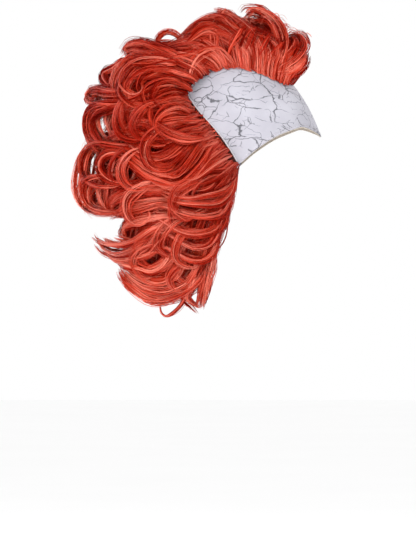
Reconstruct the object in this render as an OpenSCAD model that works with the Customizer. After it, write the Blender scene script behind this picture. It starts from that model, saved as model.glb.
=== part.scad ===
// Costume wig: a stretch cap with a fabric forehead panel, rows of sewn wefts and the hair they carry.
// The wearer faces -Y, +X is the wearer's left and +Z is up.
// The origin is the middle of the head opening at the brow line.

/* [Head that the cap fits] */
// Height of the crown above the brow line
crown_z = 100; // [96:1:104]
// Half the width of the head
head_half_w = 76; // [73:1:79]
// Reach of the back of the head behind the ear line
head_back = 86; // [83:1:89]
// Reach of the face ahead of the ear line, at its fullest
head_front = 118; // [115:1:121]

/* [Cap] */
// Thickness of the forehead fabric
panel_t = 0.7; // [0.4:0.1:0.9]
// Thickness of the cap net
net_t = 0.5; // [0.3:0.1:0.7]
// Height of a weft track
weft_h = 3; // [2:0.5:4]
// Height between one back weft and the next
weft_pitch = 16; // [15:0.5:17]
// Width of the elastic ribs
rib_w = 10; // [6:1:12]
// Height of the elastic nape band
nape_h = 10; // [8:1:12]
// Angle that each grip tab slides along the nape band, in degrees
grip_travel = 14; // [8:1:16]

/* [Hair] */
// Reach of the back curls behind the ear line
hair_back = 176; // [165:1:185]
// Half the width of the hair over the ears
hair_half_w = 128; // [115:1:135]
// Height of the top of the hair above the brow line
hair_top = 153; // [145:1:160]
// Reach of the front roll ahead of the ear line
quiff_front = 94; // [88:1:98]
// Depth of the lowest curl below the brow line
hair_low = 204; // [195:1:215]

/* [Hidden] */
node = "all";
back_wefts = 7;
top_wefts = 8;
NODES = [
    "forehead_panel", "forehead_grip_tape", "hairline_seam", "top_net", "back_net",
    "centre_rib", "left_rib", "right_rib", "left_side_band", "right_side_band", "nape_band",
    "nape_grip_patch", "left_grip_tab", "right_grip_tab", "left_adjuster_strap",
    "right_adjuster_strap", "left_ear_tab", "right_ear_tab", "left_ear_stay",
    "right_ear_stay", "care_label",
    for (k = [1:back_wefts]) str("back_weft_", k),
    for (k = [1:top_wefts]) str("top_weft_", k),
    "hair_quiff", "hair_top_left", "hair_top_right", "hair_crown_left", "hair_crown_right",
    "hair_side_upper_left", "hair_side_upper_right", "hair_back_upper_left",
    "hair_back_upper_right", "hair_side_lower_left", "hair_side_lower_right",
    "hair_back_lower_left", "hair_back_lower_right", "hair_nape_side_left",
    "hair_nape_side_right", "hair_nape_back_left", "hair_nape_back_right",
];

face_z = -77;      // level where the face reaches furthest forward
face_drop = 130;   // how far the face goes on below that level
temple_z = -10;    // level where the head is widest
temple_drop = 150;
occiput_drop = 130;
gap = 0.3;         // between sewn layers, and between neighbouring hair sections

// Distances of the layers from the head
tape_off = 0.2;
panel_off = 1.1;
net_off = 1.0;
rib_off = 1.9;
band_off = 1.9;
weft_off = 2.9;
weft_t = 1.2;
hair_off = 5;

// Edges of the cap as [angle round the head from the front, height] pairs
lower_edge = [[0, 2], [18, 7], [34, 12], [42, 10], [59, 1], [73, -13.5], [84, -31]];
temple_edge = [[84, -31], [89, -14], [95, 0], [102, 12.5], [109, 23], [120, 39], [128, 49]];
top_edge = [[0, 68], [23, 67], [49, 76], [68, 80.5], [85, 81.5], [106, 78], [115, 71],
    [123.5, 60], [128, 51]];
perimeter = [[84, -36], [92, -36], [99, -35], [107, -29], [115, -30], [125, -42], [134, -49.3],
    [145, -50.6], [180, -50.6]];
corner_psi = 84;   // where the panel meets the ear tab
recess_psi = 128;  // where the hairline reaches furthest back
recess_y = 46;

// The top strip's half width as [y, x] pairs
strip_edge = [[-67, 3], [-63, 21], [-52, 30], [-39, 36], [-20, 40], [-5, 42], [15, 44], [26, 46],
    [38, 49], [46, 50.5]];

// Hair outline. Each is [height, share of the driving size] or [height, y]
back_share = [[-204, .42], [-190, .55], [-170, .67], [-145, .76], [-110, .86], [-77, .95],
    [-45, 1], [-10, .97], [25, .94], [46, .93]];
side_share = [[-204, .38], [-180, .56], [-140, .76], [-100, .92], [-60, 1], [-30, 1], [0, .96],
    [25, .89], [46, .79]];
front_y = [[-204, 32], [-175, 23], [-146, 17], [-111, 10], [-88, 7], [-60, 0], [-39, -8],
    [-31, -11], [-14, -2], [0, 7], [12, 18], [23, 27.5], [39, 40], [49, 46]];
front_psi = [[-31, 87], [-14, 92], [0, 98], [12, 105], [23, 112], [39, 123], [49, 131]];
neck_back = [[-204, 40], [-150, 44], [-110, 50], [-80, 64], [-64, 79]];
neck_side = [[-204, 45], [-150, 52], [-110, 58], [-80, 66], [-64, 75]];

// Top of the hair, as [y, share of hair_top], and its half width, as [y, x]
top_share = [[-94, .64], [-90, .72], [-83, .80], [-69, .88], [-55, .97], [-40, .98], [-20, .93],
    [8, 1], [26, .94], [46, .88], [69, .81], [100, .75], [124, .66], [147, .50], [164, .34]];
top_half_w = [[-94, 28], [-88, 38], [-78, 46], [-64, 52], [-45, 56], [-20, 60], [10, 66], [46, 84]];
fringe_z = [[-94, 87], [-88, 77], [-80, 70], [-72, 68], [-60, 71], [-39, 78], [-5, 84], [21, 78],
    [46, 53]];
crown_floor = 46;
quiff_back_y = -38;

nape_axis_y = 10;  // centre of the arc that the nape band follows
nape_r = 68.2;     // radius of the inner face of the grip patch
nape_z = -57;
nape_half_angle = 58;
patch_t = 0.8;
tab_t = 0.8;
tab_h = 7;
tab_angles = [grip_travel + 6, grip_travel + 18];
strap_end = 56;
stitch_angle = 4;
ear_psi = 93.5;
ear_turn = 5;
ear_hinge_z = -38.2;
ear_hinge_r = 0.9;
ear_low_z = -56;

hair_colour = [0.72, 0.16, 0.09];
net_colour = [0.35, 0.07, 0.06];

// ---- curves ----

function step_at(x, t, i = 0) = i >= len(t) - 2 || x < t[i + 1][0] ? i : step_at(x, t, i + 1);
function slope_at(t, i) =
    let (a = max(i - 1, 0), b = min(i + 1, len(t) - 1)) (t[b][1] - t[a][1]) / (t[b][0] - t[a][0]);

// A smooth curve through the [x, value] pairs of t
function along(x, t) =
    let (i = step_at(x, t), h = t[i + 1][0] - t[i][0], u = min(1, max(0, (x - t[i][0]) / h)))
    t[i][1] * (1 + 2 * u) * (1 - u) * (1 - u) + slope_at(t, i) * h * u * (1 - u) * (1 - u)
    + t[i + 1][1] * u * u * (3 - 2 * u) + slope_at(t, i + 1) * h * u * u * (u - 1);

function flipped(t) = [for (p = t) [p[1], p[0]]];
function blend(a, b, u) = a + (b - a) * u;

// ---- the head ----

function fullness(z, level, up, down) =
    sqrt(max(0, 1 - pow((z - level) / (z > level ? up : down), 2)));
function front_r(z, off) =
    (head_front + off) * fullness(z, face_z, crown_z + off - face_z, face_drop + off);
function back_r(z, off) = (head_back + off) * fullness(z, 0, crown_z + off, occiput_drop + off);
function side_r(z, off) =
    (head_half_w + off) * fullness(z, temple_z, crown_z + off - temple_z, temple_drop + off);

// Point at angle psi round from the front and height z, on the surface that is off from the head
function skin(psi, z, off) =
    let (h = z * (crown_z + off) / crown_z, r = cos(psi) > 0 ? front_r(h, off) : back_r(h, off))
    [side_r(h, off) * sin(psi), -r * cos(psi), h];

function spill(x, y, z, off) =
    pow(x / max(side_r(z, off), 0.01), 2)
    + pow(y / max(y < 0 ? front_r(z, off) : back_r(z, off), 0.01), 2);

// Height of the same surface over the point x, y, by halving; the lowest height where it has none
function head_z(x, y, off, low = 0, high = undef, k = 22) =
    let (top = is_undef(high) ? crown_z + off : high, mid = (low + top) / 2)
    k == 0 ? mid
    : spill(x, y, mid, off) > 1 ? head_z(x, y, off, low, mid, k - 1)
    : head_z(x, y, off, mid, top, k - 1);

// Upper edge of the back net: the temple hairline, then the arc over the head at recess_y
function back_top(psi) =
    let (p = psi > 180 ? 360 - psi : psi)
    p < recess_psi ? along(p, temple_edge)
    : crown_z * sqrt(1 - pow(recess_y / (head_back * -cos(p)), 2));
function cap_low(psi) = along(psi > 180 ? 360 - psi : psi, perimeter);

// ---- solids from grids of points ----

module slab(inner, outer) {
    n = len(inner) - 1;
    m = len(inner[0]) - 1;
    function at(k, i, j) = (k * (n + 1) + i) * (m + 1) + j;
    function quad(a, b, c, d) = [[a, b, c], [a, c, d]];
    polyhedron(
        [for (g = [inner, outer]) for (row = g) each row],
        [
            for (i = [0:n - 1]) for (j = [0:m - 1])
                each quad(at(1, i, j), at(1, i, j + 1), at(1, i + 1, j + 1), at(1, i + 1, j)),
            for (i = [0:n - 1]) for (j = [0:m - 1])
                each quad(at(0, i, j), at(0, i + 1, j), at(0, i + 1, j + 1), at(0, i, j + 1)),
            for (j = [0:m - 1])
                each quad(at(0, 0, j), at(0, 0, j + 1), at(1, 0, j + 1), at(1, 0, j)),
            for (j = [0:m - 1])
                each quad(at(0, n, j), at(1, n, j), at(1, n, j + 1), at(0, n, j + 1)),
            for (i = [0:n - 1])
                each quad(at(0, i, 0), at(1, i, 0), at(1, i + 1, 0), at(0, i + 1, 0)),
            for (i = [0:n - 1])
                each quad(at(0, i, m), at(0, i + 1, m), at(1, i + 1, m), at(1, i, m)),
        ]
    );
}

// A layer on the head between two angles and two height curves
module wrap(psi0, psi1, low, high, off, t, n, m) {
    function sheet(d) = [
        for (i = [0:n]) let (psi = blend(psi0, psi1, i / n))
            [for (j = [0:m]) skin(psi, blend(low(psi), high(psi), j / m), d)],
    ];
    slab(sheet(off), sheet(off + t));
}

// A layer over the top of the head between y0 and y1, as wide as half_w(y) on each side
module saddle(y0, y1, half_w, off, t, n, m) {
    function sheet(d) = [
        for (i = [0:n]) let (y = blend(y0, y1, i / n), w = half_w(y))
            [for (j = [0:m]) let (x = w * sin(blend(90, -90, j / m))) [x, y, head_z(x, y, d)]],
    ];
    slab(sheet(off), sheet(off + t));
}

// An arc of the nape band: radii, heights and angles each side of straight back
module nape_arc(r, t, z0, z1, a0, a1) {
    translate([0, nape_axis_y, z0])
        rotate([0, 0, 90 - a1])
            rotate_extrude(angle = a1 - a0, $fn = 144)
                translate([r, 0]) square([t, z1 - z0]);
}

module on_left() { children(); }
module on_right() { mirror([1, 0, 0]) children(); }

// ---- cap ----

module forehead_panel() {
    low = function (psi) abs(psi) < corner_psi ? along(abs(psi), lower_edge)
        : along(abs(psi), temple_edge) + 1;
    high = function (psi) along(abs(psi), top_edge) - 1;
    color([0.86, 0.85, 0.88])
        wrap(-recess_psi + 1, recess_psi - 1, low, high, panel_off, panel_t, 56, 8);
}

// Non-slip tape inside the panel's lower edge, which shows as a fine line below it
module forehead_grip_tape() {
    low = function (psi) along(abs(psi), lower_edge) - 0.8;
    high = function (psi) along(abs(psi), lower_edge) + 6;
    color([0.85, 0.78, 0.68])
        wrap(-corner_psi + 2, corner_psi - 2, low, high, tape_off, 0.6, 36, 1);
}

// Rolled seam that joins the panel to the nets, along both temples and over the top
module hairline_seam() {
    r = 0.9;
    sides = 6;
    off = 3.1;
    temple = [for (p = [86:6:122]) [p, along(p, temple_edge)]];
    over = [for (p = [126:-6:0]) [p, along(p, top_edge)]];
    half = concat(temple, over);
    last = len(half) - 1;
    path = concat(half, [for (i = [last - 1:-1:0]) [-half[i][0], half[i][1]]]);
    centre = [for (p = path) skin(p[0], p[1], off)];
    n = len(centre) - 1;
    unit = function (v) v / norm(v);
    rings = [
        for (i = [0:n])
            let (
                run = unit(centre[min(i + 1, n)] - centre[max(i - 1, 0)]),
                out = unit(skin(path[i][0], path[i][1], off + 5) - centre[i]),
                across = unit(cross(run, out)),
                up = cross(across, run)
            )
            [for (k = [0:sides - 1])
                centre[i] + r * (across * cos(360 * k / sides) + up * sin(360 * k / sides))],
    ];
    color(hair_colour)
        polyhedron(
            [for (ring = rings) each ring],
            [
                [for (k = [0:sides - 1]) k],
                [for (k = [sides - 1:-1:0]) n * sides + k],
                for (i = [0:n - 1]) for (k = [0:sides - 1])
                    let (q = (k + 1) % sides)
                    each [
                        [i * sides + k, (i + 1) * sides + k, (i + 1) * sides + q],
                        [i * sides + k, (i + 1) * sides + q, i * sides + q],
                    ],
            ]
        );
}

module top_net() {
    color(net_colour)
        saddle(-66, recess_y - 0.5, function (y) along(y, strip_edge) - 1, net_off, net_t, 26, 14);
}

module back_net() {
    low = function (psi) cap_low(psi);
    high = function (psi) max(back_top(psi) - 1, cap_low(psi) + 3);
    color(net_colour)
        wrap(corner_psi + 1, 359 - corner_psi, low, high, net_off, net_t, 50, 8);
}

// Elastic ribbon down the back, from the crown to the nape band
module rib(psi, z_high) {
    turn = rib_w / 2 * 180 / PI / head_back;
    low = function (p) cap_low(p) + 1;
    high = function (p) z_high;
    color([0.15, 0.1, 0.1])
        wrap(psi - turn, psi + turn, low, high, rib_off, 0.6, 2, 14);
}

module side_band() {
    color([0.15, 0.1, 0.1])
        wrap(88, 134, function (p) cap_low(p), function (p) cap_low(p) + 7, band_off, 0.7, 14, 1);
}

module back_weft(k) {
    rise = 7 + (k - 1) * weft_pitch;
    level = function (psi) cap_low(psi) + rise;
    start = max(90, along(along(corner_psi + 12 * k / 2, perimeter) + rise + 4,
        flipped(temple_edge)) + 2);
    color(hair_colour)
        wrap(start, 360 - start, level, function (psi) level(psi) + weft_h, weft_off, weft_t, 34, 1);
}

module top_weft(k) {
    y = blend(-58, recess_y - 5, (k - 1) / (top_wefts - 1));
    half = weft_h / 2;
    color(hair_colour)
        saddle(y - half, y + half, function (q) along(y, strip_edge) - 4, weft_off, weft_t, 1, 16);
}

// ---- nape fastening: the tabs grip anywhere along the patch ----

module nape_band() {
    color([0.15, 0.1, 0.1])
        nape_arc(nape_r + patch_t + gap, 1, nape_z - nape_h / 2, nape_z + nape_h / 2,
            -nape_half_angle, nape_half_angle);
}

module nape_grip_patch() {
    color([0.2, 0.2, 0.22])
        nape_arc(nape_r, patch_t, nape_z - 4, nape_z + 4,
            -tab_angles[1] - 2, tab_angles[1] + 2);
}

module grip_tab() {
    color([0.12, 0.12, 0.13])
        nape_arc(nape_r - gap - tab_t, tab_t, nape_z - tab_h / 2, nape_z + tab_h / 2,
            tab_angles[0], tab_angles[1]);
}

module adjuster_strap() {
    color([0.12, 0.12, 0.13])
        nape_arc(nape_r - gap - tab_t, tab_t - 0.1, nape_z - 3, nape_z + 3,
            tab_angles[1] + 0.2, strap_end);
    color([0.12, 0.12, 0.13])
        nape_arc(nape_r - gap - 0.2, patch_t + 2 * gap + 0.2, nape_z - 3, nape_z + 3,
            strap_end - stitch_angle, strap_end);
}

// ---- ear tab: fabric with a springy stay, which folds about its upper edge ----

module ear_tab() {
    low = function (p) ear_low_z + 9 * pow((p - ear_psi) / ear_turn, 2);
    hem = skin(ear_psi, ear_hinge_z, panel_off + 0.6);
    color([0.6, 0.14, 0.1]) {
        wrap(ear_psi - ear_turn, ear_psi + ear_turn, low, function (p) ear_hinge_z - 0.6,
            panel_off, 1.2, 8, 4);
        translate([hem[0], hem[1] - 7, ear_hinge_z])
            rotate([-90, 0, 0]) cylinder(r = ear_hinge_r, h = 14, $fn = 32);
    }
}

module ear_stay() {
    color([0.75, 0.76, 0.78])
        wrap(ear_psi - 1, ear_psi + 1, function (p) ear_low_z + 3, function (p) ear_hinge_z - 2, 0.3, 0.5, 2, 4);
}

module care_label() {
    color([0.93, 0.92, 0.9])
        wrap(172, 188, function (p) -46, function (p) -24, 0.2, 0.4, 4, 4);
}

// ---- hair sections, as plain closed outlines of the space that the curls fill ----

function hair_inner(t, z) =
    let (psi = blend(along(max(z, -31), front_psi), 180, t))
    z > -64 ? [side_r(z, hair_off) * sin(psi),
        -(cos(psi) > 0 ? front_r(z, hair_off) : back_r(z, hair_off)) * cos(psi), z]
    : [along(z, neck_side) * sin(psi), -along(z, neck_back) * cos(psi), z];

function hair_outer(t, z) =
    let (turn = -35 + 125 * t, w = hair_half_w * along(z, side_share),
        centre = along(z, front_y) + 20, reach = hair_back * along(z, back_share) - centre)
    [w * cos(turn), centre + (turn < 0 ? 20 * sin(turn) / sin(35) : reach * sin(turn)), z];

// A section of the side and back hair: t runs from the front edge, 0, to the middle of the back, 1
module hair_block(t0, t1, z0, z1, n, m) {
    seam = 0.003;
    function sheet(f) = [
        for (j = [0:m]) let (z = blend(z0 + gap, z1 - gap, j / m))
            [for (i = [0:n]) f(blend(t0 + (t0 > 0 ? seam : 0), t1 - seam, i / n), z)],
    ];
    color(hair_colour)
        slab(sheet(function (t, z) hair_inner(t, z)), sheet(function (t, z) hair_outer(t, z)));
}

function arch(x, w, low, high) = low + (high - low) * sqrt(max(0, 1 - pow(x / w, 2)));

// Hair over the head between y0 and y1 and between shares u0 and u1 of its half width
module hair_cap(y0, y1, u0, u1, half_w, under, n, m) {
    thin = 1.5;
    function sheet(top) = [
        for (i = [0:n]) let (y = blend(y0 + gap, y1 - gap, i / n), w = half_w(y))
            [for (j = [0:m])
                let (x = w * blend(u1, u0, j / m), floor_z = under(x, y),
                    rim = under(w, y) + thin, peak = hair_top * along(y, top_share))
                [x, y, top ? max(floor_z + thin, arch(x, w * 1.02, rim, peak)) : floor_z]],
    ];
    color(hair_colour) slab(sheet(false), sheet(true));
}

function top_width(y) = along(y, top_half_w);
function over_head(x, y) = max(head_z(x, y, hair_off), y < recess_y ? along(y, fringe_z) : 0);
function crown_width(y) =
    let (c = along(crown_floor, front_y) + 20, reach = hair_back * along(crown_floor, back_share) - c)
    max(6, hair_half_w * along(crown_floor, side_share) * sqrt(max(0, 1 - pow(max(0, y - c) / reach, 2))));

module hair_quiff() {
    hair_cap(-quiff_front, quiff_back_y, -1, 1, function (y) top_width(y),
        function (x, y) over_head(x, y), 10, 12);
}

module hair_top() {
    hair_cap(quiff_back_y, recess_y, 0.008, 1, function (y) top_width(y),
        function (x, y) over_head(x, y), 8, 6);
}

module hair_crown() {
    last_y = hair_back * along(crown_floor, back_share) - 1;
    hair_cap(recess_y, last_y, 0.006, 1, function (y) crown_width(y),
        function (x, y) max(crown_floor, over_head(x, y)), 9, 7);
}

module hair_side_upper() { hair_block(0, 0.5, -45, crown_floor, 6, 5); }
module hair_back_upper() { hair_block(0.5, 1, -45, crown_floor, 6, 5); }
module hair_side_lower() { hair_block(0, 0.5, -120, -45, 6, 4); }
module hair_back_lower() { hair_block(0.5, 1, -120, -45, 6, 4); }
module hair_nape_side() { hair_block(0, 0.5, -hair_low, -120, 5, 4); }
module hair_nape_back() { hair_block(0.5, 1, -hair_low, -120, 5, 4); }

// ---- the wig ----

function shown(name) = node == "all" || node == name;

if (shown("forehead_panel")) forehead_panel();
if (shown("forehead_grip_tape")) forehead_grip_tape();
if (shown("hairline_seam")) hairline_seam();
if (shown("top_net")) top_net();
if (shown("back_net")) back_net();
if (shown("centre_rib")) rib(180, 82);
if (shown("left_rib")) rib(145, 70);
if (shown("right_rib")) rib(215, 70);
if (shown("left_side_band")) on_left() side_band();
if (shown("right_side_band")) on_right() side_band();
if (shown("nape_band")) nape_band();
if (shown("nape_grip_patch")) nape_grip_patch();
if (shown("left_grip_tab")) on_left() grip_tab();
if (shown("right_grip_tab")) on_right() grip_tab();
if (shown("left_adjuster_strap")) on_left() adjuster_strap();
if (shown("right_adjuster_strap")) on_right() adjuster_strap();
if (shown("left_ear_tab")) on_left() ear_tab();
if (shown("right_ear_tab")) on_right() ear_tab();
if (shown("left_ear_stay")) on_left() ear_stay();
if (shown("right_ear_stay")) on_right() ear_stay();
if (shown("care_label")) care_label();
for (k = [1:back_wefts]) if (shown(str("back_weft_", k))) back_weft(k);
for (k = [1:top_wefts]) if (shown(str("top_weft_", k))) top_weft(k);
if (shown("hair_quiff")) hair_quiff();
if (shown("hair_top_left")) on_left() hair_top();
if (shown("hair_top_right")) on_right() hair_top();
if (shown("hair_crown_left")) on_left() hair_crown();
if (shown("hair_crown_right")) on_right() hair_crown();
if (shown("hair_side_upper_left")) on_left() hair_side_upper();
if (shown("hair_side_upper_right")) on_right() hair_side_upper();
if (shown("hair_back_upper_left")) on_left() hair_back_upper();
if (shown("hair_back_upper_right")) on_right() hair_back_upper();
if (shown("hair_side_lower_left")) on_left() hair_side_lower();
if (shown("hair_side_lower_right")) on_right() hair_side_lower();
if (shown("hair_back_lower_left")) on_left() hair_back_lower();
if (shown("hair_back_lower_right")) on_right() hair_back_lower();
if (shown("hair_nape_side_left")) on_left() hair_nape_side();
if (shown("hair_nape_side_right")) on_right() hair_nape_side();
if (shown("hair_nape_back_left")) on_left() hair_nape_back();
if (shown("hair_nape_back_right")) on_right() hair_nape_back();
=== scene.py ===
import math

import bpy
import numpy as np
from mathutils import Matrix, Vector


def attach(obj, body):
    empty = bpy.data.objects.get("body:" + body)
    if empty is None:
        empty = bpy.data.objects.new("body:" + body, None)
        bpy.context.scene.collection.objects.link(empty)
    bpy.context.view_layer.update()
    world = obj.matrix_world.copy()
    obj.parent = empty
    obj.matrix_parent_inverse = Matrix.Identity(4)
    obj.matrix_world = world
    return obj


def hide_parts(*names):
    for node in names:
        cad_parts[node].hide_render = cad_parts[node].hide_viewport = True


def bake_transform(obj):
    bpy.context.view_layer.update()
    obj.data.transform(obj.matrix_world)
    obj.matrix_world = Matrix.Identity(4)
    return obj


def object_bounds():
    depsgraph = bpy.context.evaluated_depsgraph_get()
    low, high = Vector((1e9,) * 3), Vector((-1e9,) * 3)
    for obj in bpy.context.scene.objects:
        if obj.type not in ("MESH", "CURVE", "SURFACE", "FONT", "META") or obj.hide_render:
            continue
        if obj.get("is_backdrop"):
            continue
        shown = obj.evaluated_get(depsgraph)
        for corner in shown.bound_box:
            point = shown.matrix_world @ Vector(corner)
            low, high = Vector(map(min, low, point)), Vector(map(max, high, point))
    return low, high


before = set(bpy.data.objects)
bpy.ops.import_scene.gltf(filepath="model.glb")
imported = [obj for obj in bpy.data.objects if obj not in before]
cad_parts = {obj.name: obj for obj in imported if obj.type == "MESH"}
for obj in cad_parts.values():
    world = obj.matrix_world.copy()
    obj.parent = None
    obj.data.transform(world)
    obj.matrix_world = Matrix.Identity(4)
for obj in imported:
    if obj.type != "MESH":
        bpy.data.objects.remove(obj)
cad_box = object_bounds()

MM = 0.001
rng = np.random.default_rng(11)

# ---------------------------------------------------------------- camera

# Level with the middle of the display neck, square to the wearer's right side, through a long lens
AIM = Vector((0, 0.023, -0.160))
CAMERA_FAR = 5.334
LENS = 300


def make_camera():
    data = bpy.data.cameras.new("camera")
    data.lens = LENS
    data.sensor_width = 36
    camera = bpy.data.objects.new("camera", data)
    bpy.context.scene.collection.objects.link(camera)
    camera.location = AIM - Vector((CAMERA_FAR, 0, 0))
    camera.rotation_mode = "QUATERNION"
    camera.rotation_quaternion = Vector((1, 0, 0)).to_track_quat("-Z", "Y")
    data.clip_start, data.clip_end = 0.05, 60
    bpy.context.scene.camera = camera


make_camera()

# ---------------------------------------------------------------- the head that the cap fits

# Crown height, half width, back and front reach, in millimetres, as the cap is cut to them
CROWN, HALF_W, BACK, FRONT = 100, 76, 86, 118
FACE_Z, FACE_DROP, TEMPLE_Z, TEMPLE_DROP, OCCIPUT_DROP = -77, 130, -10, 150, 130
RECESS_PSI, CORNER_PSI, RECESS_Y = 128, 84, 46
LOWER_EDGE = [(0, 2), (18, 7), (34, 12), (42, 10), (59, 1), (73, -13.5), (84, -31)]
TEMPLE_EDGE = [(84, -31), (89, -14), (95, 0), (102, 12.5), (109, 23), (120, 39), (128, 49)]
TOP_EDGE = [(0, 68), (23, 67), (49, 76), (68, 80.5), (85, 81.5), (106, 78), (115, 71), (123.5, 60), (128, 51)]
PERIMETER = [(84, -36), (92, -36), (99, -35), (107, -29), (115, -30), (125, -42), (134, -49.3), (145, -50.6),
             (180, -50.6)]
STRIP_EDGE = [(-67, 3), (-63, 21), (-52, 30), (-39, 36), (-20, 40), (-5, 42), (15, 44), (26, 46), (38, 49),
              (46, 50.5)]
BACK_WEFTS, TOP_WEFTS, WEFT_PITCH = 7, 8, 16
# Middle of the nape fastening's arc, and the radius that hair keeps outside of there
NAPE_Y, NAPE_Z, NAPE_CLEAR = 10, -57, 71.2
# How far strands stay off the head, the middle that they are moved out from and the lowest level of the cap
HAIR_OFF, HEAD_MIDDLE, CAP_FOOT = 3.4, np.array([0.0, 12.0, 0.0]), -52


def along(x, table):
    """A smooth curve through the points of table, with the same slopes as the cap's own"""
    t = np.array(table, float)
    x = np.clip(np.asarray(x, float), t[0, 0], t[-1, 0])
    i = np.clip(np.searchsorted(t[:, 0], x, side="right") - 1, 0, len(t) - 2)
    a, b = np.maximum(np.arange(len(t)) - 1, 0), np.minimum(np.arange(len(t)) + 1, len(t) - 1)
    slope = (t[b, 1] - t[a, 1]) / (t[b, 0] - t[a, 0])
    h = t[i + 1, 0] - t[i, 0]
    u = (x - t[i, 0]) / h
    return (t[i, 1] * (1 + 2 * u) * (1 - u) ** 2 + slope[i] * h * u * (1 - u) ** 2
            + t[i + 1, 1] * u * u * (3 - 2 * u) + slope[i + 1] * h * u * u * (u - 1))


def fullness(z, level, up, down):
    return np.sqrt(np.maximum(0, 1 - ((z - level) / np.where(z > level, up, down)) ** 2))


def front_r(z, off):
    return (FRONT + off) * fullness(z, FACE_Z, CROWN + off - FACE_Z, FACE_DROP + off)


def back_r(z, off):
    return (BACK + off) * fullness(z, 0, CROWN + off, OCCIPUT_DROP + off)


def side_r(z, off):
    return (HALF_W + off) * fullness(z, TEMPLE_Z, CROWN + off - TEMPLE_Z, TEMPLE_DROP + off)


def skin(psi, z, off):
    """Points at angle psi round from the front and height z, off outside the head, in millimetres"""
    psi, z, off = np.broadcast_arrays(np.asarray(psi, float), np.asarray(z, float), np.asarray(off, float))
    h = z * (CROWN + off) / CROWN
    a = np.radians(psi)
    r = np.where(np.cos(a) > 0, front_r(h, off), back_r(h, off))
    return np.stack([side_r(h, off) * np.sin(a), -r * np.cos(a), h], -1)


def spill(x, y, z, off):
    """More than 1 outside the surface that lies off outside the head, and less inside it"""
    reach = np.where(y < 0, front_r(z, off), back_r(z, off))
    return (x / np.maximum(side_r(z, off), 0.01)) ** 2 + (y / np.maximum(reach, 0.01)) ** 2


def head_z(x, y, off):
    """Height of that surface over x, y, by halving"""
    x, y, high = np.broadcast_arrays(np.asarray(x, float), np.asarray(y, float), CROWN + off)
    low = np.zeros(x.shape)
    for _ in range(22):
        mid = (low + high) / 2
        out = spill(x, y, mid, off) > 1
        low, high = np.where(out, low, mid), np.where(out, mid, high)
    return (low + high) / 2


def keep_out(points):
    """Points moved straight out from the middle of the head, and then of the nape, until they are clear"""
    flat = points.reshape(-1, 3)
    hidden = np.flatnonzero((flat[:, 2] > CAP_FOOT) & (spill(*flat.T, HAIR_OFF) < 1))
    ray = flat[hidden] - HEAD_MIDDLE
    ray = ray / np.maximum(np.linalg.norm(ray, axis=1, keepdims=True), 0.01)
    low, high = np.zeros(len(hidden)), np.full(len(hidden), 220.0)
    for _ in range(14):
        mid = (low + high) / 2
        within = spill(*(HEAD_MIDDLE + ray * mid[:, None]).T, HAIR_OFF) < 1
        low, high = np.where(within, mid, low), np.where(within, high, mid)
    flat[hidden] = HEAD_MIDDLE + ray * high[:, None]
    # round the fastening, with room for its tabs to slide, fading out above, below and to the sides
    x, y = flat[:, 0], flat[:, 1] - NAPE_Y
    reach, turn = np.hypot(x, y), np.degrees(np.abs(np.arctan2(x, y)))
    least = NAPE_CLEAR - 0.25 * np.maximum(np.abs(flat[:, 2] - NAPE_Z) - 8, 0) ** 2 \
        - 0.05 * np.maximum(turn - 60, 0) ** 2
    push = np.where((reach > 5) & (reach < least), least / np.maximum(reach, 1), 1)
    flat[:, 0], flat[:, 1] = x * push, y * push + NAPE_Y
    return flat.reshape(points.shape)


def cap_low(psi):
    return along(np.where(psi > 180, 360 - psi, psi), PERIMETER)


# ---------------------------------------------------------------- the shape of the hair

# Height, centre, half width and back reach of the hair's outline, level by level, in millimetres
OUTLINE = np.array([
    (-204, 52, 49, 78), (-180, 44, 72, 112), (-160, 40, 86, 128), (-140, 36, 97, 138),
    (-110, 30, 113, 152), (-85, 26, 122, 164), (-60, 22, 126, 174), (-30, 20, 126, 174),
    (0, 30, 121, 168), (25, 48, 112, 167), (46, 60, 101, 163), (70, 50, 89, 150), (90, 30, 78, 134),
    (110, 15, 63, 118), (130, 0, 46, 60), (152, -12, 20, 15)], float)
# Front of the side hair, by height
FRONT_EDGE = [(-200, 30), (-146, 20), (-123, 14), (-76, 4), (-33, -10), (-2, 8), (26, 35), (50, 47), (100, 30)]
# Half width of the top hair, its lower edge over the panel and its upper outline, by y
TOP_HALF_W = [(-94, 22), (-86, 31), (-76, 37), (-60, 42), (-40, 46), (-15, 50), (15, 56), (46, 74), (90, 84)]
FRINGE_Z = [(-94, 82), (-84, 70), (-74, 61), (-62, 60), (-43, 67), (-22, 75), (-4, 78), (14, 78), (24, 75),
            (34, 67), (46, 53), (60, 50), (90, 50)]
TOP_Z = [(-96, 90), (-90, 112), (-80, 121), (-70, 124), (-63, 132), (-50, 144), (-36, 148), (-22, 146),
         (-9, 142), (6, 148), (26, 139), (45, 128), (59, 122), (82, 113), (110, 110)]


def outline(z):
    return [np.interp(z, OUTLINE[:, 0], OUTLINE[:, k]) for k in (1, 2, 3)]


def ring_point(turn, y, z):
    """A point that the side view shows at y, z when turn, its angle round from the middle of the back, is 0"""
    centre, half, back = outline(z)
    a = np.radians(turn)
    inward = 1 - 0.11 * (np.abs(turn) / 60) ** 2
    reach = np.maximum(y - centre, 2) * inward
    wide = np.maximum(half - (back - y), 4) * inward
    return np.stack([wide * np.sin(a), centre + reach * np.cos(a), z + 0 * a], -1)


def side_point(y, z, depth, side):
    """A point at y, z in side view, depth inside the outline, on side -1, the wearer's right, or 1"""
    centre, half, back = outline(z)
    front = along(z, FRONT_EDGE) - 10
    run = np.clip((y - centre) / (back - centre), 0, 1)
    lead = np.clip((centre - y) / np.maximum(centre - front, 1), 0, 1)
    x = half * np.sqrt(1 - run ** 2) * np.sqrt(1 - 0.42 * lead ** 2)
    return np.stack([side * x * np.maximum(0.04, 1 - depth / half), y + 0 * x, z + 0 * x], -1)


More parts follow.
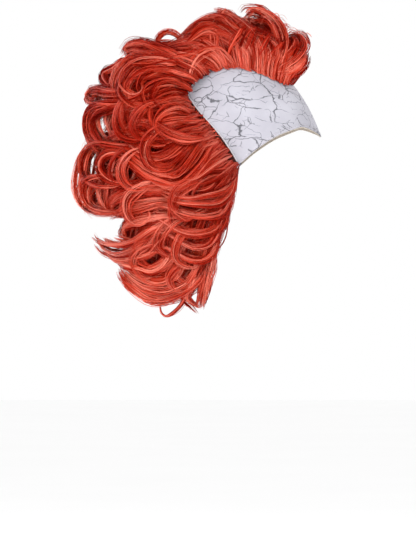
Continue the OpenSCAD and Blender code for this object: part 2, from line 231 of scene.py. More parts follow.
def dome_point(y, z, depth, side):
    """A point of the top hair's outer face at y, z in side view, depth inside it"""
    base, top, width = along(y, FRINGE_Z), along(y, TOP_Z), along(y, TOP_HALF_W)
    rise = np.clip((z - base) / (top - base), 0, 1)
    x = width * np.sqrt(np.maximum(0.02, 1 - rise ** 2.2)) - depth
    return np.stack([side * np.maximum(x, 2), y + 0 * x, z + 0 * x], -1)


def mound_point(y, z, u):
    """A point of the top hair at y, z in side view, and share u of the half width there"""
    base = along(y, FRINGE_Z)
    low = np.minimum(base, z)
    rise = np.maximum(z - base, 0)
    return np.stack([u * along(y, TOP_HALF_W), y + 0 * z, low + rise * np.sqrt(1 - 0.72 * u * u)], -1)


# ---------------------------------------------------------------- strands

SIDES = 3
RINGS = 18
# Triangles that a piece may hold, under what the export takes
PIECE_FACES = 190000


def spline(points, count):
    """count points, evenly spaced, along a Catmull-Rom curve"""
    p = np.asarray(points, float)
    p = np.vstack([2 * p[0] - p[1], p, 2 * p[-1] - p[-2]])
    fine = []
    for i in range(1, len(p) - 2):
        t = np.linspace(0, 1, 12, endpoint=False)[:, None]
        a, b, c, d = p[i - 1], p[i], p[i + 1], p[i + 2]
        fine.append(0.5 * (2 * b + (c - a) * t + (2 * a - 5 * b + 4 * c - d) * t ** 2
                           + (3 * b - a - 3 * c + d) * t ** 3))
    fine = np.vstack(fine + [p[-2][None]])
    run = np.concatenate([[0], np.cumsum(np.linalg.norm(np.diff(fine, axis=0), axis=1))])
    at = np.linspace(0, run[-1], count)
    return np.stack([np.interp(at, run, fine[:, k]) for k in range(3)], 1), run[-1]


def unit(v):
    return v / np.maximum(np.linalg.norm(v, axis=-1, keepdims=True), 1e-9)


def frames(centre, out):
    """Directions across and out of a lock, carried along it without twist from out at its start"""
    run = unit(np.gradient(centre, axis=0))
    o = out - run[0] * (out @ run[0])
    outs = [unit(o)]
    for i in range(1, len(centre)):
        o = outs[-1] - run[i] * (outs[-1] @ run[i])
        outs.append(unit(o))
    outs = np.array(outs)
    return np.cross(run, outs), outs


# Strands of each hair section, lock by lock: lines, directions across and out, radii and tones with painted
# shading
sections = {}


def section_of(p):
    """The hair section that a point belongs to, by the same levels and seams as the CAD's"""
    x, y, z = p
    side = "left" if x > 0 else "right"
    if z > 60 and y < -38:
        return "quiff"
    if z > 60 and y < 46:
        return "top_" + side
    if z > 46:
        return "crown_" + side
    centre, half, back = outline(z)
    turn = math.degrees(math.atan2(max(y - centre, -20) / max(back - centre, 1), abs(x) / half))
    part = "back" if turn > 27 else "side"
    if z > -45:
        return f"{part}_upper_{side}"
    if z > -120:
        return f"{part}_lower_{side}"
    return f"nape_{part}_{side}"


def lock(points, width, thick, count, out, radius=0.30, frizz=1.3, tint=0.5, tip=0.15, root=0.5):
    """A lock of strands round a curve through points. width lies across it and thick out of it, in mm"""
    m = RINGS
    centre, length = spline(points, 3 * m)
    across, outs = frames(centre, unit(np.asarray(out, float)))
    clumps = max(6, count // 4)
    angle, reach = rng.uniform(0, 2 * np.pi, clumps), np.sqrt(rng.uniform(0, 1.3, clumps))
    which = rng.integers(0, clumps, count)
    fine = 0.138
    p0 = reach[which] * np.cos(angle[which]) + fine * rng.normal(size=count)
    q0 = reach[which] * np.sin(angle[which]) + fine * rng.normal(size=count)
    clump_tint = rng.normal(0, 0.12, clumps)[which]
    clump_phase = rng.uniform(0, 2 * np.pi, (2, clumps))[:, which]
    start = rng.uniform(0, 0.04, count)
    end = 1 - 0.22 * rng.uniform(0, 1, count) ** 1.3
    s = start[:, None] + (end - start)[:, None] * np.linspace(0, 1, m)[None]
    at = s * (3 * m - 1)
    i = np.minimum(at.astype(int), 3 * m - 2)
    f = (at - i)[..., None]
    c = centre[i] * (1 - f) + centre[i + 1] * f
    a = across[i] * (1 - f) + across[i + 1] * f
    o = outs[i] * (1 - f) + outs[i + 1] * f
    swell = root + (1 - root) * np.clip(s / 0.3, 0, 1) ** 0.8
    swell = swell * (1 - (1 - tip) * np.clip((s - 0.45) / 0.55, 0, 1) ** 1.5)
    turns = length / 80
    wander = 0.13 * frizz
    p = p0[:, None] + wander * np.sin(2 * np.pi * turns * s + clump_phase[0][:, None])
    q = q0[:, None] + wander * np.sin(2 * np.pi * turns * 0.8 * s + clump_phase[1][:, None])
    lone = rng.uniform(0, 2 * np.pi, (2, count, 1))
    reach_out = rng.uniform(0, 1, (count, 1)) ** 6 * frizz * 4.5
    p = p + reach_out / max(width, 1) * 2 * np.sin(5 * s + lone[0]) * s
    q = q + reach_out / max(thick, 1) * 1.2 * np.sin(4 * s + lone[1]) * s
    lines = c + (width / 2 * swell * p)[..., None] * a + (thick / 2 * swell * q)[..., None] * o
    lines = keep_out(lines)
    radii = radius * rng.uniform(0.8, 1.2, count)[:, None] * (1 - 0.75 * np.clip((s - 0.7) / 0.3, 0, 1) ** 2)
    # Each strand's tone: the lock's own tone with random differences, plus painted shading. Strands on the
    # lock's outer face are painted lighter and those at its edges painted darker.
    tints = np.clip(tint + clump_tint + rng.normal(0, 0.10, count), 0, 1)[:, None] \
        + 0.12 * np.sin(2 * np.pi * s * length / 95 + clump_phase[0][:, None] * 0.2) \
        + 0.15 * np.clip(q, -1, 1) + 0.05 - 0.17 * np.clip(p, -1, 1) ** 2
    key = section_of(centre[int(1.5 * m)])
    sections.setdefault(key, []).append((lines, a, o, radii, tints))


# ---------------------------------------------------------------- locks

def jitter(points, size):
    """The same path moved a little and bent a little, its start least"""
    p = np.asarray(points, float)
    share = np.linspace(0.3, 1, len(p))[:, None]
    shift = np.clip(rng.normal(0, size, p.shape[1]), -1.4 * size, 1.4 * size)
    bend = np.clip(rng.normal(0, 0.35 * size, p.shape), -0.5 * size, 0.5 * size)
    return p + (shift + bend) * share


def sink(path, first, lie, rise):
    """Depth along a path: first at its root, and lie once it has run rise millimetres"""
    run = np.concatenate([[0], np.cumsum(np.linalg.norm(np.diff(path, axis=0), axis=1))])
    return lie + (first - lie) * np.clip(1 - run / rise, 0, 1) ** 1.6


def side_locks(path, width, count, lie=3, first=40, rise=48, thick=7, copies=2, spread=1.2, **look):
    """Locks that lie along the side of the hair, over looser ones painted darker as painted shade: path is a
    list of (y, z)
    """
    tint = look.pop("tint", 0.5)
    for side in (-1, 1):
        for copy in range(copies):
            p = jitter(path, spread * (1 + 1.6 * copy + (side > 0)))
            q = side_point(p[:, 0], p[:, 1], sink(p, first, lie + 5 * copy, rise), side)
            # each deeper copy is painted darker: painted shade
            lock(q, width * (1 + 0.25 * copy), thick, count, (side, 0.1, 0.1), tint=tint - 0.16 * copy, **look)


def dome_locks(path, width, count, lie=2, first=12, rise=25, thick=7, copies=2, spread=1.2, **look):
    """Locks that lie along the outside of the top hair, over ones painted darker as painted shade: path is a
    list of (y, z)
    """
    tint = look.pop("tint", 0.5)
    for side in (-1, 1):
        for copy in range(copies):
            p = jitter(path, spread * (1 + 1.4 * copy + (side > 0)))
            q = dome_point(p[:, 0], p[:, 1], sink(p, first, lie + 6 * copy, rise), side)
            # each deeper copy is painted darker: painted shade
            lock(q, width * (1 + 0.25 * copy), thick, count, (side, 0, 0.5), tint=tint - 0.16 * copy, **look)


def ring_locks(path, turns, width, thick, count, spread=2.0, sway=13, **look):
    """Locks that curl out from the back, each swaying to a side as it goes: path is a list of (y, z)"""
    for turn in turns:
        p = jitter(path, spread)
        swing = rng.normal(0, 4) + rng.normal(0, sway) * np.linspace(-0.5, 1, len(p)) ** 2
        q = ring_point(turn + swing, p[:, 0], p[:, 1] + rng.normal(0, 0.05) * abs(turn))
        a = math.radians(turn)
        lock(q, width * rng.uniform(0.8, 1.2), thick, count, (0, math.cos(a) * 0.2, 1), **look)


def mound_locks(path, shares, width, thick, count, spread=2.0, **look):
    """Locks inside the top hair, each in its own plane from front to back: path is a list of (y, z)"""
    for u in shares:
        p = jitter(path, spread)
        lean = u + rng.normal(0, 0.05) + rng.normal(0, 0.05) * np.linspace(0, 1, len(p))
        q = mound_point(p[:, 0], p[:, 1], np.clip(lean, -1.0, 1.0))
        lock(q, width * rng.uniform(0.8, 1.2), thick, count, (0.3 * u, 0.2, 1), **look)


def underlay():
    """Short hair close over the cap, from every weft, painted almost black as painted shade under the outer
    hair
    """
    edge = np.array(TEMPLE_EDGE, float)
    for k in range(1, BACK_WEFTS + 1):
        rise = 8 + (k - 1) * WEFT_PITCH
        for psi in np.arange(91, 270, 6.0):
            z = float(cap_low(psi)) + rise
            if min(psi, 360 - psi) < np.interp(z, edge[:, 1], edge[:, 0]) + 7 or z > 84:
                continue
            root = skin(psi, z, 4)
            out = unit(root * (1, 1, 0.3))
            fall = -0.75 if z > -45 else -1
            p1 = root + out * 7 + (0, 6, 2)
            p2 = root + out * 15 + (0, 16, 12 * fall)
            p3 = root + out * 22 + (0, 24, 32 * fall)
            p4 = root + out * 26 + (0, 28, 52 * fall)
            # tone 0.06 here and below: painted shade
            lock(jitter([root, p1, p2, p3, p4], 2.5), 18, 12, 30, out, radius=0.5, tint=0.06, frizz=1.4,
                 tip=0.7, root=0.9)
    for k in range(TOP_WEFTS):
        y = -58 + k * (RECESS_Y - 5 + 58) / (TOP_WEFTS - 1)
        half = float(along(y, STRIP_EDGE)) - 3
        for x in np.linspace(-half, half, 9):
            root = np.array([x, y, float(head_z(x, y, 4))])
            lift = np.array([x * 0.14, -5 if y < 0 else 7, 18 if y < 16 else 8])
            p = [root, root + lift * 0.5, root + lift * 1.1 + (0, -4 if y < 0 else 4, 0),
                 root + lift * 1.7 + (0, -10 if y < 0 else 10, 2)]
            lock(jitter(p, 2), 16, 12, 30, (x / 40, 0.2, 1), radius=0.5, tint=0.06, tip=0.7, root=0.9)


# Curls that stand out from the back, as the side view shows the middle ones: width, strands, path
BACK_CURLS = [
    (14, 60, [(52, 88), (75, 97), (96, 105), (109, 106), (117, 103), (116, 98), (109, 96)]),
    (10, 50, [(60, 80), (95, 85), (117, 85), (129, 79), (139, 75), (142, 70), (139, 64), (133, 58)]),
    (13, 56, [(66, 58), (100, 52), (120, 50), (136, 52), (149, 53), (155, 51), (158, 47), (154, 41),
              (145, 41)]),
    (8, 50, [(66, 42), (100, 40), (133, 36), (150, 36), (160, 29), (163, 18), (161, 6), (154, -7), (143, -17)]),
    (8, 36, [(70, 30), (118, 34), (139, 33), (151, 28), (156, 18), (153, 4), (143, -9), (128, -17)]),
    (8, 40, [(70, 2), (117, 7), (135, 6), (146, 5), (149, 0), (143, -5), (130, -7)]),
    (7, 40, [(72, -14), (126, -10), (146, -7), (159, -11), (167, -23), (166, -41), (154, -53), (136, -57),
             (117, -55)]),
    (7, 36, [(84, -6), (138, -4), (157, -8), (168, -21), (172, -40), (173, -58), (165, -77), (150, -87),
             (132, -88)]),
    (10, 46, [(76, -50), (120, -44), (150, -45), (163, -51), (167, -62), (162, -77), (149, -85), (130, -86)]),
    (8, 34, [(80, -56), (131, -59), (150, -58), (158, -65), (152, -74), (136, -77), (120, -76)]),
    (15, 60, [(72, -66), (96, -90), (110, -97), (119, -104), (118, -115), (108, -122)]),
    (11, 46, [(62, -88), (84, -106), (105, -119), (122, -123), (136, -121), (145, -115)]),
    (12, 46, [(60, -98), (86, -134), (108, -139), (124, -138), (134, -133)]),
    (12, 48, [(48, -108), (66, -146), (86, -170), (104, -177), (117, -164), (124, -151)]),
    (12, 44, [(42, -108), (54, -150), (72, -174), (90, -184), (106, -178), (116, -165)]),
]


def back_curls():
    for number, (width, count, path) in enumerate(BACK_CURLS):
        step = 16 if width > 12 else 14
        turns = np.arange(-56 + 5 * (number % 2), 57, step)
        ring_locks(path, turns, width, width * 0.5, count, spread=1.6, tint=0.52, tip=0.35)
        if width > 9:
            # a second row inside each wider curl, painted darker as painted shade
            inner = [(y - 9, z) for y, z in path[:-2]]
            ring_locks(inner, turns + step / 2, width + 5, 8, count - 10, spread=3, tint=0.34, tip=0.4)
    # an inner shell of hair painted darker as painted shade, which closes the view between the curls
    lower = [(72, -58), (100, -74), (117, -98), (121, -126), (112, -154), (98, -180)]
    upper = [(80, 20), (108, 0), (124, -20), (128, -44), (122, -66)]
    beside = [(64, -50), (96, -62), (115, -84), (120, -112), (113, -142)]
    for path, turns in ((lower, (-66, -52, -38, -24, 24, 38, 52, 66)), (upper, (-50, -34, -17, 0, 17, 34, 50)),
                        (beside, (-72, -62, -30, 30, 62, 72))):
        ring_locks(path, turns, 27, 9, 58, spread=3, sway=7, tint=0.2, tip=0.7, root=0.8)


# Waves of the side hair, from the crown down: width, strands, where they lie and the path
SIDE_WAVES = [
    (14, 60, 3, [(36, 76), (59, 91), (81, 99), (97, 106), (110, 107), (118, 103), (117, 99)]),
    (13, 56, 4, [(41, 73), (65, 87), (88, 96), (106, 102), (116, 99)]),
    (15, 64, 3, [(40, 70), (61, 82), (81, 87), (100, 85), (113, 76), (120, 62), (122, 48)]),
    (14, 60, 3, [(43, 64), (65, 71), (88, 73), (104, 66), (111, 55), (109, 46)]),
    (12, 50, 4, [(44, 76), (75, 88), (104, 92), (120, 83), (128, 69), (130, 53), (126, 42)]),
    (9, 46, 3, [(96, 90), (118, 86), (129, 79), (139, 75), (142, 70), (139, 64), (133, 58)]),
    (9, 46, 3, [(100, 52), (121, 50), (136, 52), (149, 54), (156, 52), (159, 47), (155, 41), (145, 42)]),
    (15, 64, 4, [(47, 54), (64, 58), (81, 51), (95, 43), (109, 39), (121, 40)]),
    (13, 56, 3, [(44, 46), (58, 47), (72, 42), (86, 35), (100, 34), (116, 38)]),
    (13, 56, 3, [(41, 38), (59, 41), (76, 37), (94, 36), (111, 40)]),
    (13, 56, 4, [(36, 27), (53, 28), (70, 31), (88, 26), (102, 28), (117, 24)]),
    (12, 50, 3, [(96, 36), (121, 34), (139, 33), (151, 28), (156, 18), (153, 4), (143, -9), (128, -17)]),
    (8, 44, 2, [(112, 37), (133, 36), (149, 36), (160, 29), (163, 18), (161, 6), (154, -7), (143, -17)]),
    (14, 60, 4, [(31, 19), (47, 18), (65, 14), (81, 11), (97, 15), (114, 7), (131, 5)]),
    (14, 60, 3, [(22, 8), (38, 7), (55, 1), (71, -8), (88, -6), (104, 2), (121, -2), (134, -8)]),
    (15, 66, 3, [(26, 13), (41, 1), (54, -13), (67, -23), (84, -25), (101, -16), (117, -7)]),
    (15, 66, 3, [(17, 5), (31, -7), (44, -23), (57, -36), (73, -40), (91, -31), (108, -18), (126, -10)]),
    (14, 66, 2, [(9, -3), (22, -14), (33, -32), (45, -46), (58, -52), (75, -48), (93, -40), (112, -27),
                 (130, -20)]),
    (12, 56, 2, [(4, -9), (16, -20), (27, -36), (38, -50), (52, -58), (68, -57), (84, -52)]),
    (6, 36, 1, [(-8, -29), (3, -37), (24, -40), (38, -48), (46, -60), (45, -70)]),
    (9, 44, 3, [(-3, -29), (8, -42), (20, -46), (32, -54), (38, -64), (36, -72)]),
    (8, 46, 2, [(-9, -34), (-3, -49), (5, -60), (24, -66), (43, -69), (62, -65), (76, -60)]),
    (9, 52, 2, [(-8, -35), (-5, -51), (0, -66), (12, -76), (35, -76), (58, -73), (75, -65)]),
    (8, 46, 4, [(2, -24), (10, -40), (16, -54), (26, -62), (40, -64)]),
    (10, 54, 2, [(-6, -40), (-1, -58), (3, -76), (11, -88), (31, -90), (51, -86), (68, -79), (84, -77)]),
    (9, 52, 2, [(0, -58), (4, -76), (7, -93), (15, -106), (36, -111), (55, -106), (74, -95), (88, -87)]),
    (9, 50, 2, [(4, -72), (8, -94), (14, -112), (23, -123), (39, -126), (55, -119), (68, -111), (82, -108)]),
    (9, 50, 2, [(9, -88), (14, -112), (18, -131), (30, -140), (45, -138), (59, -131), (71, -124), (86, -126)]),
    (11, 48, 5, [(14, -60), (20, -78), (36, -88), (56, -92), (76, -92), (96, -94)]),
    (16, 62, 3, [(56, -58), (78, -58), (104, -60), (124, -67), (134, -77), (131, -86)]),
    (16, 62, 3, [(60, -74), (85, -75), (106, -80), (123, -85), (130, -92)]),
    (14, 56, 3, [(60, -88), (78, -90), (96, -94), (112, -98), (120, -105), (118, -115)]),
    (6, 40, 2, [(96, -12), (127, -10), (146, -7), (159, -11), (167, -23), (166, -41), (154, -53), (136, -57),
                (117, -55)]),
    (9, 44, 3, [(108, -24), (126, -18), (140, -22), (145, -34), (138, -46), (125, -53), (112, -54)]),
    (5, 34, 2, [(136, -5), (157, -8), (168, -21), (172, -40), (173, -58), (165, -77), (150, -87), (132, -88),
                (118, -85)]),
    (8, 44, 2, [(126, -44), (150, -46), (163, -51), (167, -62), (162, -77), (149, -85), (130, -86),
                (112, -80)]),
    (6, 40, 1, [(62, -98), (86, -106), (107, -119), (125, -124), (140, -122), (150, -116), (154, -109)]),
    (7, 40, 2, [(71, -112), (91, -122), (111, -131), (128, -134), (143, -129), (152, -118)]),
    (8, 44, 3, [(60, -112), (88, -134), (110, -140), (128, -141), (141, -134)]),
    (12, 56, 3, [(52, -98), (68, -108), (82, -118), (92, -132), (108, -137)]),
    (12, 56, 3, [(56, -92), (70, -98), (92, -112), (108, -128), (122, -136)]),
    (10, 52, 2, [(26, -132), (32, -158), (45, -172), (65, -181), (88, -184), (106, -176), (119, -163),
                 (126, -151)]),
    (11, 52, 3, [(38, -134), (44, -159), (60, -170), (78, -175), (96, -171), (111, -162), (122, -151)]),
    (12, 56, 3, [(50, -130), (57, -152), (70, -162), (86, -163), (101, -157), (114, -149)]),
    (12, 56, 3, [(62, -118), (72, -142), (85, -151), (101, -147), (117, -143), (129, -140)]),
    (13, 56, 5, [(46, -112), (58, -132), (72, -146), (88, -152), (104, -152)]),
    (10, 50, 3, [(19, -126), (21, -146), (25, -164), (28, -180), (31, -194)]),
    (8, 40, 5, [(22, -130), (25, -150), (30, -170), (34, -186), (37, -194)]),
    (9, 40, 4, [(30, -136), (37, -156), (43, -172), (46, -184), (38, -192), (31, -196)]),
    (10, 46, 5, [(24, -112), (32, -136), (40, -154), (48, -166), (58, -172)]),
]


# Broad locks under the waves, painted dark as painted shade
UNDER_WAVES = [
    [(2, -36), (12, -68), (22, -98), (32, -128), (38, -158)], [(14, -30), (26, -66), (38, -98), (48, -128)],
    [(44, -60), (62, -84), (82, -104), (98, -118), (108, -132)],
    [(40, -90), (52, -118), (66, -140), (84, -156)],
    [(40, 0), (60, -22), (84, -40), (108, -52)], [(50, 30), (74, 18), (98, 12), (118, 8)],
]
# Where the hair starts behind the panel's temple edge: height, y
TEMPLE_ROOTS = [(-30, -7), (-14, 1), (0, 9), (12, 18), (23, 28), (39, 42), (49, 48), (60, 40), (76, 27)]
# The locks' lightness by height, which rises towards the nape: painted light, as though more light falls on the
# lower hair than on the middle of the side
PAINTED_LIGHT_Z, WAVE_TONE_AND_PAINTED_LIGHT, SWIRL_TONE_AND_PAINTED_LIGHT = [-150, -80, -20, 60], [0.62, 0.54, 0.35, 0.36], [0.64, 0.57, 0.41, 0.41]


def side_waves():
    for width, count, lie, path in SIDE_WAVES:
        away = path[0][0] > along(path[0][1], FRONT_EDGE) + 22
        path = np.array(path) + (0 if path[0][1] < -28 else 2, 0)
        # tone with painted light by height
        tone_and_painted_light = float(np.interp(path[len(path) // 2][1], PAINTED_LIGHT_Z, WAVE_TONE_AND_PAINTED_LIGHT))
        side_locks(path, width, count, lie=lie, first=14 if away else 40, rise=30 if away else 46,
                   thick=max(5, 0.5 * width), copies=1 if width < 9 else 2, tint=tone_and_painted_light, tip=0.3, root=0.5)
    for path in UNDER_WAVES:
        # tone 0.3: painted shade under the waves
        side_locks(path, 22, 60, lie=13, first=34, rise=50, thick=9, copies=2, spread=2, tint=0.3, tip=0.6)
    for width, count, path in SWIRLS:
        away = path[0][0] > along(path[0][1], FRONT_EDGE) + 14
        tone_and_painted_light = float(np.interp(path[len(path) // 2][1], PAINTED_LIGHT_Z, SWIRL_TONE_AND_PAINTED_LIGHT))
        side_locks(path, 1.25 * width, int(0.7 * count), lie=-1, first=9 if away else 38,
                   rise=26 if away else 44, thick=7, copies=2, spread=3.2, tint=tone_and_painted_light, tip=0.2, root=0.35)
    for z in np.arange(-27, 54, 6.5):
        y = float(along(z, TEMPLE_ROOTS))
        bend = rng.normal(0, 3) - (4 if z < 30 else -4)
        path = [(y + 2.5, z + 1), (y + 10, z + 0.3 * bend), (y + 17, z + bend), (y + 28, z + 1.2 * bend)]
        side_locks(path, 12, 30, lie=14, first=40, rise=34, thick=5, copies=1, spread=1.2, tint=0.42, tip=0.4,
                   root=0.55)
    side_locks([(34, -150), (40, -166), (47, -180), (55, -193), (65, -202), (72, -204), (77, -199), (78, -191)],
               3, 26, lie=2, first=12, copies=1, spread=0.4, tint=0.6, thick=3)


# Rounder locks that lie over the waves and cross them: width, strands and path
SWIRLS = [
    (11, 56, [(60, 84), (80, 88), (99, 86), (113, 77), (120, 62), (116, 50), (105, 46), (97, 53), (99, 61)]),
    (10, 50, [(48, 56), (64, 61), (82, 58), (94, 49), (95, 37), (86, 30), (76, 34)]),
    (10, 50, [(70, 38), (88, 36), (102, 26), (106, 10), (98, -2), (86, -2), (82, 8)]),
    (11, 54, [(58, 14), (76, 7), (90, -6), (93, -22), (84, -35), (70, -38), (60, -32)]),
    (10, 50, [(112, 46), (124, 34), (128, 16), (122, 0), (108, -8), (98, -4)]),
    (11, 52, [(78, -54), (96, -60), (110, -74), (111, -92), (100, -102), (88, -98), (86, -90)]),
    (10, 50, [(46, -92), (62, -98), (76, -112), (78, -128), (68, -138), (56, -136)]),
    (10, 50, [(94, -14), (112, -22), (122, -38), (117, -54), (104, -60), (94, -56)]),
    (9, 46, [(28, -4), (46, -6), (62, -2), (78, 4), (90, 14), (92, 26), (84, 32)]),
    (10, 48, [(44, 22), (60, 28), (74, 24), (84, 14), (84, 2), (74, -4)]),
    (9, 46, [(24, -50), (42, -54), (58, -62), (66, -76), (62, -90), (50, -96), (40, -92)]),
    (10, 48, [(22, -100), (38, -104), (54, -114), (62, -128), (58, -142), (46, -150), (36, -146)]),
    (10, 48, [(30, -134), (46, -138), (62, -148), (70, -162), (64, -174), (52, -178)]),
    (9, 44, [(80, -120), (96, -124), (108, -134), (110, -148), (100, -158), (88, -158)]),
    (9, 44, [(54, 70), (70, 78), (88, 78), (100, 70), (104, 58), (97, 50)]),
    (9, 44, [(-4, -22), (8, -30), (21, -42), (34, -52), (48, -56)]),
    (9, 44, [(1, -13), (13, -22), (27, -36), (39, -48), (52, -54)]),
    (8, 40, [(-8, -28), (2, -38), (14, -46), (28, -50)]),
]


# Waves of the top hair: width, strands and path
TOP_WAVES = [
    (9, 50, [(-54, 69), (-67, 73), (-79, 79), (-86, 87), (-90, 98)]),
    (11, 56, [(-54, 71), (-65, 82), (-78, 93), (-86, 105), (-84, 115), (-77, 119), (-70, 118)]),
    (11, 56, [(-52, 73), (-61, 87), (-72, 100), (-77, 111), (-72, 118)]),
    (9, 60, [(-53, 73), (-61, 92), (-64, 110), (-60, 126), (-51, 138), (-41, 145), (-31, 148), (-24, 146),
             (-20, 141)]),
    (11, 56, [(-48, 76), (-56, 92), (-57, 110), (-53, 126), (-46, 136), (-38, 142)]),
    (12, 60, [(8, 146), (-6, 130), (-20, 118), (-33, 108), (-45, 99), (-56, 89)]),
    (13, 60, [(-38, 76), (-40, 92), (-33, 110), (-18, 127), (-5, 139), (4, 146), (12, 146)]),
    (13, 60, [(-27, 80), (-26, 95), (-17, 112), (-4, 126), (8, 137), (24, 137), (38, 130), (50, 121)]),
    (12, 56, [(-14, 84), (-12, 97), (-6, 108), (6, 115), (22, 117), (38, 114), (50, 107)]),
    (12, 56, [(0, 86), (2, 95), (12, 101), (28, 100), (42, 94), (58, 90), (76, 92)]),
    (12, 56, [(-44, 73), (-49, 88), (-47, 104), (-39, 116), (-29, 124), (-17, 132)]),
    (12, 50, [(44, 62), (42, 76), (34, 88), (22, 96), (8, 100)]),
    (12, 54, [(14, 86), (22, 96), (36, 103), (52, 103), (70, 100), (88, 103)]),
    (12, 54, [(20, 100), (34, 110), (48, 110), (64, 106), (80, 104)]),
    (9, 44, [(-46, 74), (-62, 74), (-74, 76), (-84, 84)]),
    (9, 40, [(24, 84), (18, 100), (18, 114), (26, 124), (38, 124)]),
]


# Locks inside the top hair: width, thickness, strands, tint and path
INSIDE_LOCKS = [
    (14, 8, 56, 0.42, [(-52, 76), (-62, 92), (-76, 104), (-84, 112), (-80, 118)]),
    (13, 8, 56, 0.45, [(-50, 74), (-64, 78), (-76, 84), (-86, 94)]),
    (14, 9, 60, 0.42, [(-46, 84), (-56, 106), (-58, 122), (-50, 134), (-40, 138), (-28, 136)]),
    (14, 9, 60, 0.42, [(-34, 92), (-44, 112), (-44, 126), (-34, 134), (-22, 138)]),
    (15, 9, 56, 0.42, [(-30, 90), (-34, 112), (-30, 128), (-18, 136), (-8, 138)]),
    (15, 9, 56, 0.45, [(-12, 94), (-14, 114), (-6, 130), (6, 142), (16, 142)]),
    (15, 9, 56, 0.45, [(6, 96), (8, 116), (16, 132), (30, 135), (44, 126), (54, 119)]),
    (14, 8, 56, 0.45, [(24, 92), (32, 103), (44, 107), (62, 101), (82, 98), (100, 99)]),
    (16, 9, 54, 0.4, [(36, 86), (50, 98), (70, 100), (92, 94), (112, 98)]),
]
# One ring curl that stands up behind the crown
RING_CURL = [(40, 92), (50, 104), (55, 118), (62, 124), (71, 125), (79, 119), (82, 111), (78, 105), (68, 104),
             (56, 98)]
# The fan of locks over the panel's top edge, by y: how far below the edge, lean, curl and height
FAN_Y, FAN_LEAN, FAN_CURL, FAN_TALL = [-66, -48, -20, 10, 44], [-13, -6, 3, 15, 22], [6, 12, 14, 12, 9], \
    [13, 20, 19, 9, 5]
FAN_DROP = ([-66, -56, -46, 0, 20, 40], [-1, 0, 2.8, 2.4, 1.5, 3.5])


def quiff_and_top():
    """Hair from the top strip: swept up and rolled forward in front, mounded behind"""
    for y in np.arange(-66, 44, 6.0):
        y = y + rng.normal(0, 1.2)
        low = float(along(y, FRINGE_Z)) - float(np.interp(y, *FAN_DROP))
        lean, curl, tall = (float(np.interp(y, FAN_Y, row)) for row in (FAN_LEAN, FAN_CURL, FAN_TALL))
        tall = tall * rng.uniform(0.75, 1.15)
        path = [(y, low), (y + 0.3 * lean, low + 0.8 * tall), (y + 0.9 * lean, low + 1.7 * tall),
                (y + 1.8 * lean + 0.4 * curl, low + 2.5 * tall),
                (y + 2.6 * lean + 1.4 * curl, low + 2.8 * tall)]
        dome_locks(path, rng.uniform(9, 15), 54, lie=2, first=7, rise=14, thick=6,
                   spread=1.6 if y < -45 else 3.0, tint=rng.uniform(0.34, 0.5), tip=0.2, root=0.75)
    for width, count, path in TOP_WAVES:
        dome_locks(path, width, count, tint=0.47, tip=0.3)
    for width, thick, count, tint, path in INSIDE_LOCKS:
        mound_locks(path, np.linspace(-0.78, 0.78, 8), width, thick, count, tint=tint)
    mound_locks([(-6, 98), (4, 124), (9, 142), (5, 150)], [-0.2, 0.1], 7, 6, 30, tint=0.6, tip=0.1)
    mound_locks([(-52, 75), (-61, 68), (-69, 64), (-76, 70), (-81, 80)], (-0.36, -0.18, 0, 0.18, 0.36),
                15, 8, 44, tint=0.4)
    mound_locks(RING_CURL, [-0.3, 0.28], 4, 4, 34, tint=0.62, spread=0.8, tip=0.7)


def strays():
    """Single hairs that stand off the curls"""
    for _ in range(120):
        turn, z = rng.uniform(-60, 60), rng.uniform(-72, 96)
        y = outline(z)[2] - rng.uniform(10, 18)
        path = [(y, z), (y + 8, z + rng.normal(0, 6)), (y + 9, z - 12), (y + 2, z - 22)]
        ring_locks(path, [turn], 8, 6, 3, radius=0.2, tint=0.6, tip=1)
    for _ in range(60):
        y, u = rng.uniform(-84, 60), rng.uniform(-0.5, 0.5)
        z = float(along(y, TOP_Z)) - 4
        path = [(y, z - 10), (y - 4, z), (y - 9, z + 2), (y - 13, z - 5)]
        mound_locks(path, [u], 8, 6, 3, radius=0.2, tint=0.6, tip=1)


def fit(replaces=None):
    if replaces:
        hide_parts(replaces)


